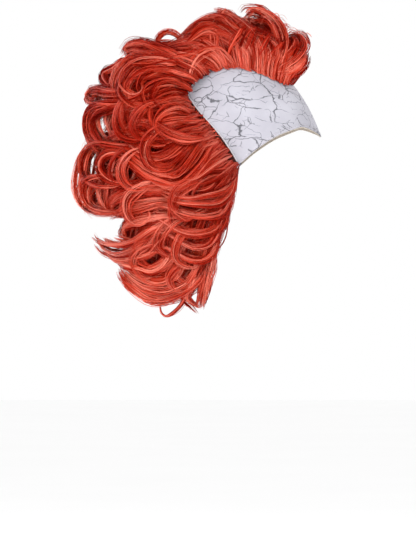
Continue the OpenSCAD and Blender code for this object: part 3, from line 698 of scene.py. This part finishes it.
def build_meshes(name, strands, material):
    """Closed tubes for a section's strands, in pieces of a size that exports whole"""
    lines, across, outs, radii, tints = (np.concatenate(part) for part in zip(*strands))
    count, m = lines.shape[:2]
    most = PIECE_FACES // (2 * SIDES * (m - 1) + 2)
    for first in range(0, count, most):
        last = min(count, first + most)
        n = last - first
        turn = 2 * np.pi * np.arange(SIDES) / SIDES
        ring = across[first:last, :, None] * np.cos(turn)[None, None, :, None] \
            + outs[first:last, :, None] * np.sin(turn)[None, None, :, None]
        points = lines[first:last, :, None] + ring * radii[first:last, :, None, None]
        starts = (np.arange(n) * m * SIDES)[:, None]
        i = (np.arange(m - 1) * SIDES)[None, :, None]
        k = np.arange(SIDES)[None, None, :]
        nxt = (k + 1) % SIDES
        quads = starts[..., None, None] + np.stack([i + k, i + nxt, i + SIDES + nxt, i + SIDES + k], -1)
        quads = quads.reshape(-1, 4)
        caps = np.concatenate([starts + np.array([2, 1, 0]), starts + (m - 1) * SIDES + np.array([0, 1, 2])])
        mesh = bpy.data.meshes.new(name)
        mesh.vertices.add(n * m * SIDES)
        mesh.vertices.foreach_set("co", (points * MM).astype(np.float32).ravel())
        mesh.loops.add(quads.size + caps.size)
        mesh.loops.foreach_set("vertex_index", np.concatenate([quads.ravel(), caps.ravel()]).astype(np.int32))
        mesh.polygons.add(len(quads) + len(caps))
        sizes = np.concatenate([np.full(len(quads), 4), np.full(len(caps), 3)])
        mesh.polygons.foreach_set("loop_start", np.concatenate([[0], np.cumsum(sizes)[:-1]]).astype(np.int32))
        mesh.update(calc_edges=True)
        mesh.polygons.foreach_set("use_smooth", np.ones(len(sizes), bool))
        tint = mesh.attributes.new("tint", "FLOAT", "POINT")
        tint.data.foreach_set("value", np.repeat(tints[first:last].ravel(), SIDES).astype(np.float32))
        mesh.materials.append(material)
        number = first // most + 1
        piece = bpy.data.objects.new(f"curls_{name}" + (f"_{number}" if count > most else ""), mesh)
        bpy.context.scene.collection.objects.link(piece)
        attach(piece, "wig")
        fit("hair_" + name)


# ---------------------------------------------------------------- materials

class Nodes:
    """A material's node tree, with short calls for the nodes that this script uses"""

    def __init__(self, name, roughness, specular=0.5, **sockets):
        self.material = bpy.data.materials.new(name)
        self.material.use_nodes = True
        self.tree = self.material.node_tree
        self.shader = self.tree.nodes["Principled BSDF"]
        self.shader.inputs["Roughness"].default_value = roughness
        self.shader.inputs["Specular IOR Level"].default_value = specular
        for key, value in sockets.items():
            self.shader.inputs[key.replace("_", " ")].default_value = value

    def add(self, kind, links=None, **settings):
        node = self.tree.nodes.new(kind)
        for key, value in settings.items():
            if hasattr(node, key):
                setattr(node, key, value)
            else:
                node.inputs[key.replace("_", " ")].default_value = value
        for key, source in (links or {}).items():
            self.tree.links.new(source, node.inputs[key])
        return node

    def place(self, scale=(1, 1, 1)):
        where = self.add("ShaderNodeTexCoord")
        mapping = self.add("ShaderNodeMapping", {"Vector": where.outputs["Object"]})
        mapping.inputs["Scale"].default_value = scale
        return mapping.outputs["Vector"]

    def noise(self, place, scale, detail=3, rough=0.5, distort=0.0):
        node = self.add("ShaderNodeTexNoise", {"Vector": place}, Scale=scale, Detail=detail, Roughness=rough,
                        Distortion=distort)
        return node.outputs["Fac"]

    def ramp(self, source, stops):
        node = self.add("ShaderNodeValToRGB", {"Fac": source})
        elements = node.color_ramp.elements
        while len(elements) < len(stops):
            elements.new(0.5)
        for element, (position, colour) in zip(elements, stops):
            element.position = position
            element.color = (*colour, 1)
        return node.outputs["Color"]

    def math(self, operation, a, b=0.0):
        node = self.add("ShaderNodeMath", operation=operation)
        for socket, value in zip(node.inputs, (a, b)):
            if isinstance(value, (int, float)):
                socket.default_value = value
            else:
                self.tree.links.new(value, socket)
        return node.outputs[0]

    def mix(self, share, a, b, blend="MIX"):
        node = self.add("ShaderNodeMix", data_type="RGBA", blend_type=blend)
        for socket, value in ((node.inputs["Factor"], share), (node.inputs[6], a), (node.inputs[7], b)):
            if isinstance(value, (int, float)):
                socket.default_value = value
            elif isinstance(value, tuple):
                socket.default_value = (*value, 1)
            else:
                self.tree.links.new(value, socket)
        return node.outputs[2]

    def colour(self, source):
        self.tree.links.new(source, self.shader.inputs["Base Color"])

    def rough(self, source):
        self.tree.links.new(source, self.shader.inputs["Roughness"])

    def bump(self, height, strength, distance):
        node = self.add("ShaderNodeBump", {"Height": height}, Strength=strength, Distance=distance)
        self.tree.links.new(node.outputs["Normal"], self.shader.inputs["Normal"])


def hair_material():
    m = Nodes("copper_fibre", 0.36, specular=0.5, Specular_Tint=(1, 0.78, 0.70, 1))
    tint = m.add("ShaderNodeAttribute", attribute_name="tint").outputs["Fac"]
    patch = m.noise(m.place(), 26, detail=2)
    value = m.math("ADD", tint, m.math("MULTIPLY", m.math("SUBTRACT", patch, 0.5), 0.35))
    # The near-black end serves the painted shade of the inner hair. The pale pink light end is partly the
    # hair's colour and partly painted highlight.
    m.colour(m.ramp(value, [(0.0, (0.12, 0.0015, 0.0004)), (0.3, (0.33, 0.009, 0.0018)),
                            (0.55, (0.55, 0.032, 0.007)), (1.0, (0.80, 0.19, 0.12))]))
    # Strands painted darker as shade also reflect less
    shine = m.math("MAXIMUM", m.math("SUBTRACT", m.math("MULTIPLY", value, 1.5), 0.30), 0.03)
    m.tree.links.new(shine, m.shader.inputs["Specular IOR Level"])
    return m.material


def plain_fabric(name, dark, light, roughness=0.8, scale=900, strength=0.3):
    m = Nodes(name, roughness, specular=0.25)
    place = m.place()
    weave = m.add("ShaderNodeTexWave", {"Vector": place}, Scale=scale, Distortion=0.6, Detail=1.0)
    cross = m.add("ShaderNodeTexWave", {"Vector": place}, bands_direction="Z", Scale=scale, Distortion=0.6)
    height = m.math("ADD", weave.outputs["Fac"], cross.outputs["Fac"])
    patch = m.noise(place, 60)
    # Colour follows the weave's relief, its hollows painted darker as painted shade, plus noise patches of the
    # cloth's own uneven tone
    share = m.math("ADD", m.math("MULTIPLY", height, 0.3), m.math("MULTIPLY", patch, 0.5))
    m.colour(m.ramp(share, [(0.2, dark), (0.8, light)]))
    m.bump(height, strength, 0.0003)
    return m.material


def panel_material():
    m = Nodes("crackle_knit", 0.62, specular=0.3)
    place = m.place()
    flat = m.place((1, 0.72, 1.3))
    bend = m.add("ShaderNodeTexNoise", {"Vector": place}, Scale=70.0, Detail=4.0)
    moved = m.add("ShaderNodeVectorMath", {0: bend.outputs["Color"]}, operation="MULTIPLY_ADD")
    moved.inputs[1].default_value = (0.011, 0.011, 0.011)
    m.tree.links.new(flat, moved.inputs[2])
    ink = 0.0
    for scale, width, bare, few, dark in ((34.0, 0.028, 0.40, 0.42, 1.0), (52.0, 0.036, 0.42, 0.42, 0.9),
                                          (78.0, 0.034, 0.52, 0.5, 0.75)):
        edge = m.add("ShaderNodeTexVoronoi", {"Vector": moved.outputs[0]}, feature="DISTANCE_TO_EDGE",
                     Scale=scale)
        cell = m.add("ShaderNodeTexVoronoi", {"Vector": moved.outputs[0]}, Scale=scale)
        line = m.ramp(edge.outputs["Distance"], [(0.4 * width, (1, 1, 1)), (width, (0, 0, 0))])
        keep = m.ramp(m.noise(place, scale * 1.1, detail=1), [(bare, (0, 0, 0)), (bare + 0.05, (1, 1, 1))])
        drawn = m.math("GREATER_THAN", cell.outputs["Color"], few)
        stroke = m.math("MULTIPLY", m.math("MULTIPLY", line, keep), m.math("MULTIPLY", drawn, dark))
        ink = m.math("MAXIMUM", stroke, ink)
    cloud = m.noise(place, 22, detail=4)
    knit = m.ramp(cloud, [(0.3, (0.315, 0.308, 0.348)), (0.7, (0.40, 0.393, 0.437))])
    m.colour(m.mix(m.math("MULTIPLY", ink, 0.9), knit, (0.06, 0.06, 0.07)))
    rib = m.add("ShaderNodeTexWave", {"Vector": place}, Scale=520.0, Distortion=1.2, Detail=1.0)
    rib_z = m.add("ShaderNodeTexWave", {"Vector": place}, bands_direction="Z", Scale=520.0, Distortion=1.2)
    grain = m.noise(place, 900, detail=2)
    height = m.math("ADD", m.math("ADD", rib.outputs["Fac"], rib_z.outputs["Fac"]), grain)
    m.bump(height, 0.22, 0.0003)
    return m.material


def thread_material(name, dark, light):
    """Twisted thread: fine slanting plies, painted darker between them as painted shade"""
    m = Nodes(name, 0.55, specular=0.35)
    place = m.place()
    ply = m.add("ShaderNodeTexWave", {"Vector": place}, bands_direction="DIAGONAL", Scale=700.0, Distortion=0.8)
    # colour follows the plies' relief, darker in the grooves as painted shade; the noise is the thread's own
    # uneven tone
    share = m.math("MULTIPLY", m.math("ADD", ply.outputs["Fac"], m.noise(place, 90)), 0.5)
    m.colour(m.ramp(share, [(0.2, dark), (0.8, light)]))
    m.bump(ply.outputs["Fac"], 0.4, 0.0002)
    return m.material


def brushed_metal():
    m = Nodes("stay_metal", 0.3, specular=0.5, Metallic=1.0)
    grain = m.noise(m.place((1, 1, 0.05)), 2500, detail=2)
    m.colour(m.ramp(grain, [(0.3, (0.50, 0.50, 0.52)), (0.7, (0.68, 0.68, 0.70))]))
    m.rough(m.math("ADD", m.math("MULTIPLY", grain, 0.2), 0.22))
    return m.material


# ---------------------------------------------------------------- cap pieces

def add_mesh(name, points, faces, material, body="wig"):
    mesh = bpy.data.meshes.new(name)
    mesh.from_pydata([tuple(p * MM) for p in points], [], faces)
    mesh.update()
    mesh.polygons.foreach_set("use_smooth", np.ones(len(mesh.polygons), bool))
    mesh.materials.append(material)
    piece = bpy.data.objects.new(name, mesh)
    bpy.context.scene.collection.objects.link(piece)
    if body:
        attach(piece, body)
    return piece


def shell(name, inner, outer, material, body="wig"):
    """A closed thin shell between two grids of points"""
    n, k = inner.shape[0] - 1, inner.shape[1] - 1
    points = np.concatenate([inner.reshape(-1, 3), outer.reshape(-1, 3)])

    def at(side, i, j):
        return (side * (n + 1) + i) * (k + 1) + j

    faces = []
    for i in range(n):
        for j in range(k):
            faces.append((at(1, i, j), at(1, i + 1, j), at(1, i + 1, j + 1), at(1, i, j + 1)))
            faces.append((at(0, i, j), at(0, i, j + 1), at(0, i + 1, j + 1), at(0, i + 1, j)))
    for i in range(n):
        faces.append((at(0, i, 0), at(0, i + 1, 0), at(1, i + 1, 0), at(1, i, 0)))
        faces.append((at(0, i + 1, k), at(0, i, k), at(1, i, k), at(1, i + 1, k)))
    for j in range(k):
        faces.append((at(0, 0, j + 1), at(0, 0, j), at(1, 0, j), at(1, 0, j + 1)))
        faces.append((at(0, n, j), at(0, n, j + 1), at(1, n, j + 1), at(1, n, j)))
    return add_mesh(name, points, faces, material, body)


def ribbed(u, v, cords, pitch):
    """Relief of a woven elastic: cords along it, nipped where the weave crosses them"""
    return 0.12 * np.cos(2 * np.pi * cords * v) * (0.7 + 0.3 * np.cos(2 * np.pi * u * pitch))


def tape(name, at, off, thick, n, k, material, replaces, relief=None, body="wig"):
    """A closed tape over at(u, v, off), with soft edges and raised threads"""
    u, v = np.meshgrid(np.linspace(0, 1, n + 1), np.linspace(0, 1, k + 1), indexing="ij")
    edge = np.minimum(np.minimum(v, 1 - v) * k / 2, 1)
    full = thick / 2 * (0.45 + 0.55 * np.sqrt(edge))
    middle = off + thick / 2
    raised = 0 if relief is None else relief(u, v)
    piece = shell(name, at(u, v, middle - full), at(u, v, middle + full + raised), material, body)
    fit(replaces)
    return piece


def round_head(psi0, psi1, low, high):
    """Places on the head between two angles and two levels"""
    def at(u, v, off):
        psi = psi0 + (psi1 - psi0) * u
        bottom, top = low(psi), high(psi)
        return skin(psi, bottom + (top - bottom) * v, off)
    return at


def over_crown(y0, y1, half):
    """Places over the top of the head between y0 and y1, u from left to right"""
    def at(u, v, off):
        y = y0 + (y1 - y0) * v
        x = half(y) * np.sin(np.pi * (0.5 - u))
        return np.stack([x, y, head_z(x, y, off)], -1)
    return at


def round_nape(a0, a1, z0, z1):
    """Places on the nape arc at off from its axis, from angle a0 to a1 off straight back"""
    def at(u, v, off):
        a = np.radians(a0 + (a1 - a0) * u)
        return np.stack([off * np.sin(a), NAPE_Y + off * np.cos(a), z0 + (z1 - z0) * v], -1)
    return at


def tubes(name, paths, radius, material, sides=4, body="wig"):
    """Closed tubes along paths, as one piece"""
    points, faces = [], []
    for path in paths:
        path = np.asarray(path, float)
        across, outs = frames(path, path[0] - (0, 10, 0) + (0.01, 0, 0.02))
        first = len(points)
        for c, a, o in zip(path, across, outs):
            for t in 2 * np.pi * np.arange(sides) / sides:
                points.append(c + radius * (a * math.cos(t) + o * math.sin(t)))
        for i in range(len(path) - 1):
            for j in range(sides):
                p, q = first + i * sides + j, first + i * sides + (j + 1) % sides
                faces.append((p, q, q + sides, p + sides))
        faces.append([first + j for j in reversed(range(sides))])
        faces.append([len(points) - sides + j for j in range(sides)])
    return add_mesh(name, points, faces, material, body)


def panel():
    """The forehead panel: stretched smooth, scalloped where it is sewn along the temples"""
    n, k = 300, 60
    psi = np.linspace(-RECESS_PSI + 0.6, RECESS_PSI - 0.6, n + 1)
    away = np.abs(psi)
    low = np.where(away < CORNER_PSI, along(away, LOWER_EDGE), along(away, TEMPLE_EDGE) - 0.6)
    scallop = 0.9 * np.abs(np.sin(np.radians(away - CORNER_PSI) * 15)) * (away > CORNER_PSI)
    low = low + scallop
    high = along(away, TOP_EDGE) + 0.3
    share = np.linspace(0, 1, k + 1)
    z = low[:, None] + (high - low)[:, None] * share[None]
    grid_psi = np.repeat(psi[:, None], k + 1, 1)
    pull = 0.45 * np.sin(np.radians(grid_psi * 9) + 4 * share[None]) \
        * np.exp(-((np.abs(grid_psi) - CORNER_PSI) / 16) ** 2)
    hem = np.where((share[None] < 0.035) & (np.abs(grid_psi) < CORNER_PSI), 0.35, 0)
    inner = skin(grid_psi, z, 1.1)
    outer = skin(grid_psi, z, 1.8)
    lift = unit(outer - inner)
    piece = shell("forehead_panel_cloth", inner + lift * pull[..., None],
                  outer + lift * (pull + hem)[..., None], panel_material())
    fit("forehead_panel")
    return piece


def hairline():
    """Points along the panel's temple and top edges, from one lower corner to the other"""
    temple = [(p, float(along(p, TEMPLE_EDGE))) for p in np.arange(85, 127, 1.5)]
    over = [(p, float(along(p, TOP_EDGE))) for p in np.arange(127, -1, -1.5)]
    half = temple + over
    return half + [(-p, z) for p, z in half[-2::-1]]


def seam_and_stitches(thread):
    """The rolled seam under the hairline, with the overlock thread that wraps it"""
    line = hairline()
    psi, z = np.array([p for p, _ in line]), np.array([h for _, h in line])
    core = tubes("hairline_seam_roll", [spline(skin(psi, z, 2.6), 260)[0]], 0.8, thread, sides=8)
    fit("hairline_seam")
    path, length = spline(skin(psi, z, 2.6), 1500)
    across, outs = frames(path, path[0] - (0, 10, 0))
    turn = np.linspace(0, 2 * np.pi * length / 3.2, len(path))
    wrap = path + 1.0 * (across * np.cos(turn)[:, None] + outs * np.sin(turn)[:, None])
    thread_piece = tubes("hairline_overlock", [wrap], 0.2, thread, sides=3)


def hem_stitches(thread):
    """Two rows of short stitches along the panel's lower edge"""
    paths = []
    for row in (1.4, 3.4):
        for psi in np.arange(-80, 80, 1.9):
            p = np.linspace(psi, psi + 1.3, 4)
            paths.append(skin(p, along(np.abs(p), LOWER_EDGE) + row, np.array([1.95, 2.25, 2.25, 1.95])))
    piece = tubes("panel_hem_stitches", paths, 0.16, thread)
    return piece


def net_threads(name, at, count, lean, material):
    """The net's two families of slanting threads, each a fine closed tube just above the cloth"""
    paths = []
    for way in (1, -1):
        for start in np.linspace(-lean, 1, count):
            v = np.linspace(0.02, 0.98, 28)
            u = start + lean * v if way > 0 else 1 - start - lean * v
            inside = (u > 0.01) & (u < 0.99)
            if inside.sum() > 3:
                paths.append(at(u[inside], v[inside], 1.72))
    piece = tubes(name, paths, 0.17, material, sides=3)
    return piece


def back_top(psi):
    p = np.where(psi > 180, 360 - psi, psi)
    reach = np.minimum(0.98, RECESS_Y / (BACK * np.maximum(-np.cos(np.radians(p)), 0.6)))
    return np.where(p < RECESS_PSI, along(p, TEMPLE_EDGE), CROWN * np.sqrt(1 - reach ** 2))


def nets(material, thread):
    top_at = over_crown(-66, RECESS_Y - 0.5, lambda y: along(y, STRIP_EDGE) - 1)
    top = tape("top_net_cloth", top_at, 1.0, 0.5, 60, 50, material, "top_net")
    top_threads = net_threads("top_net_threads", top_at, 44, 0.5, thread)
    back_at = round_head(CORNER_PSI + 1, 359 - CORNER_PSI, cap_low,
                         lambda p: np.maximum(back_top(p) - 1, cap_low(p) + 3))
    back = tape("back_net_cloth", back_at, 1.0, 0.5, 150, 50, material, "back_net")
    back_threads = net_threads("back_net_threads", back_at, 70, 0.22, thread)


def wefts(material):
    """The machine-sewn tracks that carry the hair, each with its rows of lock stitches"""
    def relief(rows, count):
        return lambda u, v: 0.22 * np.cos(2 * np.pi * rows * v) * (0.55 + 0.45 * np.cos(2 * np.pi * u * count))

    edge = np.array(TEMPLE_EDGE, float)
    for k in range(1, BACK_WEFTS + 1):
        rise = 7 + (k - 1) * WEFT_PITCH
        level_at_start = float(along(CORNER_PSI + 6 * k, PERIMETER)) + rise + 4
        start = max(90, float(np.interp(level_at_start, edge[:, 1], edge[:, 0])) + 2)
        at = round_head(start, 360 - start, lambda p, r=rise: cap_low(p) + r,
                        lambda p, r=rise: cap_low(p) + r + 3)
        tape(f"back_weft_{k}_track", at, 2.9, 1.2, 260, 12, material, f"back_weft_{k}", relief(2.5, 60))
    for k in range(1, TOP_WEFTS + 1):
        y = -58 + (k - 1) * (RECESS_Y - 5 + 58) / (TOP_WEFTS - 1)
        half = float(along(y, STRIP_EDGE)) - 4
        at = over_crown(y - 1.5, y + 1.5, lambda q, h=half: h + 0 * q)
        tape(f"top_weft_{k}_track", at, 2.9, 1.2, 110, 12, material, f"top_weft_{k}", relief(2.5, 26))


def elastic(material):
    """Ribs, side bands and the nape band, woven with cords along them"""
    rib_turn = 5 * 180 / math.pi / BACK
    for name, psi, top in (("centre_rib", 180, 82), ("left_rib", 145, 70), ("right_rib", 215, 70)):
        def at(u, v, off, psi=psi, top=top):
            p = psi - rib_turn + 2 * rib_turn * v
            low = cap_low(p) + 1
            return skin(p, low + (top - low) * u, off)
        tape(name + "_elastic", at, 1.9, 0.6, 130, 30, material, name,
             lambda u, v: ribbed(u, v, 7, 65))
    for name, a, b in (("right_side_band", 272, 226), ("left_side_band", 88, 134)):
        at = round_head(a, b, cap_low, lambda p: cap_low(p) + 7)
        tape(name + "_elastic", at, 1.9, 0.7, 120, 24, material, name,
             lambda u, v: ribbed(u, v, 5, 50))
    tape("nape_band_elastic", round_nape(-58, 58, -62, -52), 69.3, 1.0, 260, 30, material,
         "nape_band", lambda u, v: ribbed(u, v, 7, 110))


def nape_fastening(loop, hook, woven):
    """The looped patch, the hooked tabs and the straps"""
    def pile(u, v):
        return -0.10 + 0.10 * np.sin(170 * u) * np.sin(23 * v + 40 * u)
    tape("nape_grip_patch_pile", round_nape(-34, 34, -61, -53), 68.2, 0.8, 240, 30, loop,
         "nape_grip_patch", pile)
    for side, name in ((1, "left"), (-1, "right")):
        tape(f"{name}_grip_tab_hooks", round_nape(side * 20, side * 32, -60.5, -53.5), 67.1, 0.8, 60, 30, hook,
             f"{name}_grip_tab", body=name + "_grip",
             relief=lambda u, v: -0.12 + 0.10 * np.cos(2 * np.pi * 15 * u) * np.cos(2 * np.pi * 9 * v))
        strap = tape(f"{name}_strap_elastic", round_nape(side * 31.4, side * 56, -60, -54), 67.1, 0.7, 110, 20,
                     woven, f"{name}_adjuster_strap", lambda u, v: 0.7 * ribbed(u, v, 5, 32), None)
        start, end = (np.array([side * 67.4 * math.sin(a), NAPE_Y + 67.4 * math.cos(a), NAPE_Z]) * MM
                      for a in (math.radians(52), math.radians(32.2)))
        tuple(start)
        tuple(end)
        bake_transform(strap)
        box_stitch = [(52.6, -59), (55.2, -59), (55.2, -55), (52.6, -55), (52.6, -59), (55.2, -55)]
        path = [round_nape(side * a, side * a, z, z)(0.0, 0.0, 66.95) for a, z in box_stitch]
        stitch = tubes(f"{name}_strap_stitches", [path], 0.22, hook)


def ear_tabs(fabric, metal, thread):
    """Folded fabric tabs over springy stays"""
    def rolled_edge(u, v):
        return 0.35 * np.exp(-((np.minimum(np.minimum(u, 1 - u) * 9.6, v * 18) - 0.8) / 0.7) ** 2)
    for side, name in ((1, "left"), (-1, "right")):
        def at(u, v, off, side=side):
            psi = 88.7 + 9.6 * u
            low = -56 + 9 * ((psi - 93.5) / 5) ** 2
            p = skin(psi, low + (-36.4 - low) * v, off)
            return p * (side, 1, 1)
        tab = tape(f"{name}_ear_tab_cloth", at, 1.1, 1.2, 50, 60, fabric, f"{name}_ear_tab",
                   rolled_edge, None)
        x = float(skin(93.5, -38.2, 1.7)[0]) * side
        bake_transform(tab)
        seam = [at(u, v, 2.45) for u, v in [(0.14, 0.75), (0.15, 0.5), (0.2, 0.28), (0.35, 0.12), (0.5, 0.09),
                                            (0.65, 0.12), (0.8, 0.28), (0.85, 0.5), (0.86, 0.75)]]
        line, _ = spline(seam, 66)
        dashes = [line[i:i + 4] for i in range(0, 62, 6)]
        stitches = tubes(f"{name}_ear_tab_stitches", dashes, 0.18, thread, body=name + "_ear")
        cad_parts[f"{name}_ear_stay"].data.materials.clear()
        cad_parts[f"{name}_ear_stay"].data.materials.append(metal)


def label(material, thread):
    """A blank woven label"""
    at = round_head(172, 188, lambda p: -46 + 0 * p, lambda p: -24 + 0 * p)
    piece = tape("care_label_cloth", at, 0.15, 0.4, 40, 36, material, "care_label",
                 lambda u, v: -0.04 + 0.05 * np.cos(2 * np.pi * 30 * v))
    dashes = []
    for psi in np.arange(173, 187, 1.4):
        dashes.append(skin(np.linspace(psi, psi + 0.8, 3), np.full(3, -25.2), np.array([0.1, -0.02, 0.1])))
    stitches = tubes("care_label_stitches", dashes, 0.15, thread)


def grip_tape(material):
    """Non-slip tape inside the panel's lower edge"""
    at = round_head(-82, 82, lambda p: along(np.abs(p), LOWER_EDGE) - 0.8,
                    lambda p: along(np.abs(p), LOWER_EDGE) + 6)
    tape("forehead_grip_tape_band", at, 0.2, 0.6, 300, 24, material, "forehead_grip_tape")


# ---------------------------------------------------------------- assembly

underlay()
back_curls()
side_waves()
quiff_and_top()
strays()

fibre = hair_material()
for name, strands in sorted(sections.items()):
    build_meshes(name, strands, fibre)

pale_thread = thread_material("pale_thread", (0.40, 0.38, 0.40), (0.58, 0.56, 0.59))
red_thread = thread_material("red_thread", (0.10, 0.010, 0.005), (0.34, 0.035, 0.015))
dark_thread = thread_material("dark_thread", (0.03, 0.008, 0.006), (0.10, 0.02, 0.014))
cloth = panel()
stitches = hem_stitches(pale_thread)
grip_tape(plain_fabric("grip_tape", (0.50, 0.44, 0.36), (0.66, 0.59, 0.50), roughness=0.55))
seam_and_stitches(pale_thread)
nets(plain_fabric("cap_net", (0.03, 0.005, 0.004), (0.10, 0.015, 0.01)), dark_thread)
wefts(thread_material("weft_track", (0.12, 0.010, 0.005), (0.42, 0.05, 0.02)))
elastic(plain_fabric("elastic", (0.012, 0.008, 0.008), (0.05, 0.035, 0.035), roughness=0.7))
nape_fastening(plain_fabric("loop_tape", (0.02, 0.018, 0.02), (0.08, 0.07, 0.075), roughness=0.95,
                            strength=0.8),
               plain_fabric("hook_tape", (0.02, 0.02, 0.022), (0.06, 0.06, 0.065), roughness=0.45),
               plain_fabric("strap_elastic", (0.012, 0.010, 0.010), (0.05, 0.04, 0.04), roughness=0.7))
ear_tabs(plain_fabric("ear_tab_fabric", (0.10, 0.01, 0.006), (0.28, 0.04, 0.02)), brushed_metal(), red_thread)
label(plain_fabric("label", (0.62, 0.61, 0.59), (0.80, 0.79, 0.77)), pale_thread)

# ---------------------------------------------------------------- studio


FLOOR_Z, FLOOR_REACH = -0.62, 12
# Softboxes: place in metres, power in watts and width
LIGHTS = [((-1.8, -1.0, 1.0), 25, 0.6), ((-1.5, 1.3, 0.2), 16, 0.6), ((1.4, -1.0, 1.4), 12, 1.0),
          ((0.9, 1.5, 0.8), 9, 1.0), ((-1.7, 0.3, -0.5), 13, 0.7)]


def studio():
    scene = bpy.context.scene
    scene.view_settings.view_transform = "Standard"
    world = bpy.data.worlds.new("studio")
    world.use_nodes = True
    world.node_tree.nodes["Background"].inputs["Color"].default_value = (1, 1, 1, 1)
    world.node_tree.nodes["Background"].inputs["Strength"].default_value = 1.0
    scene.world = world
    mesh = bpy.data.meshes.new("floor")
    corners = [(x * FLOOR_REACH, y * FLOOR_REACH, FLOOR_Z) for x, y in ((-1, -1), (1, -1), (1, 1), (-1, 1))]
    mesh.from_pydata(corners, [], [(0, 1, 2, 3)])
    floor = bpy.data.objects.new("floor", mesh)
    scene.collection.objects.link(floor)
    material = Nodes("pale_floor", 0.9, specular=0.1)
    material.colour(material.ramp(material.noise(material.place(), 3), [(0, (0.95,) * 3), (1, (0.98,) * 3)]))
    mesh.materials.append(material.material)
    floor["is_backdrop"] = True
    for number, (place, power, width) in enumerate(LIGHTS):
        data = bpy.data.lights.new(f"softbox_{number}", "AREA")
        data.energy, data.size = power, width
        lamp = bpy.data.objects.new(f"softbox_{number}", data)
        lamp.location = place
        lamp.rotation_mode = "QUATERNION"
        lamp.rotation_quaternion = (Vector((0, 0.03, 0)) - Vector(place)).to_track_quat("-Z", "Y")
        scene.collection.objects.link(lamp)


studio()

boxes = {"cad": cad_box, "visual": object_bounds()}
{key: [list(corner) for corner in box] for key, box in boxes.items()}
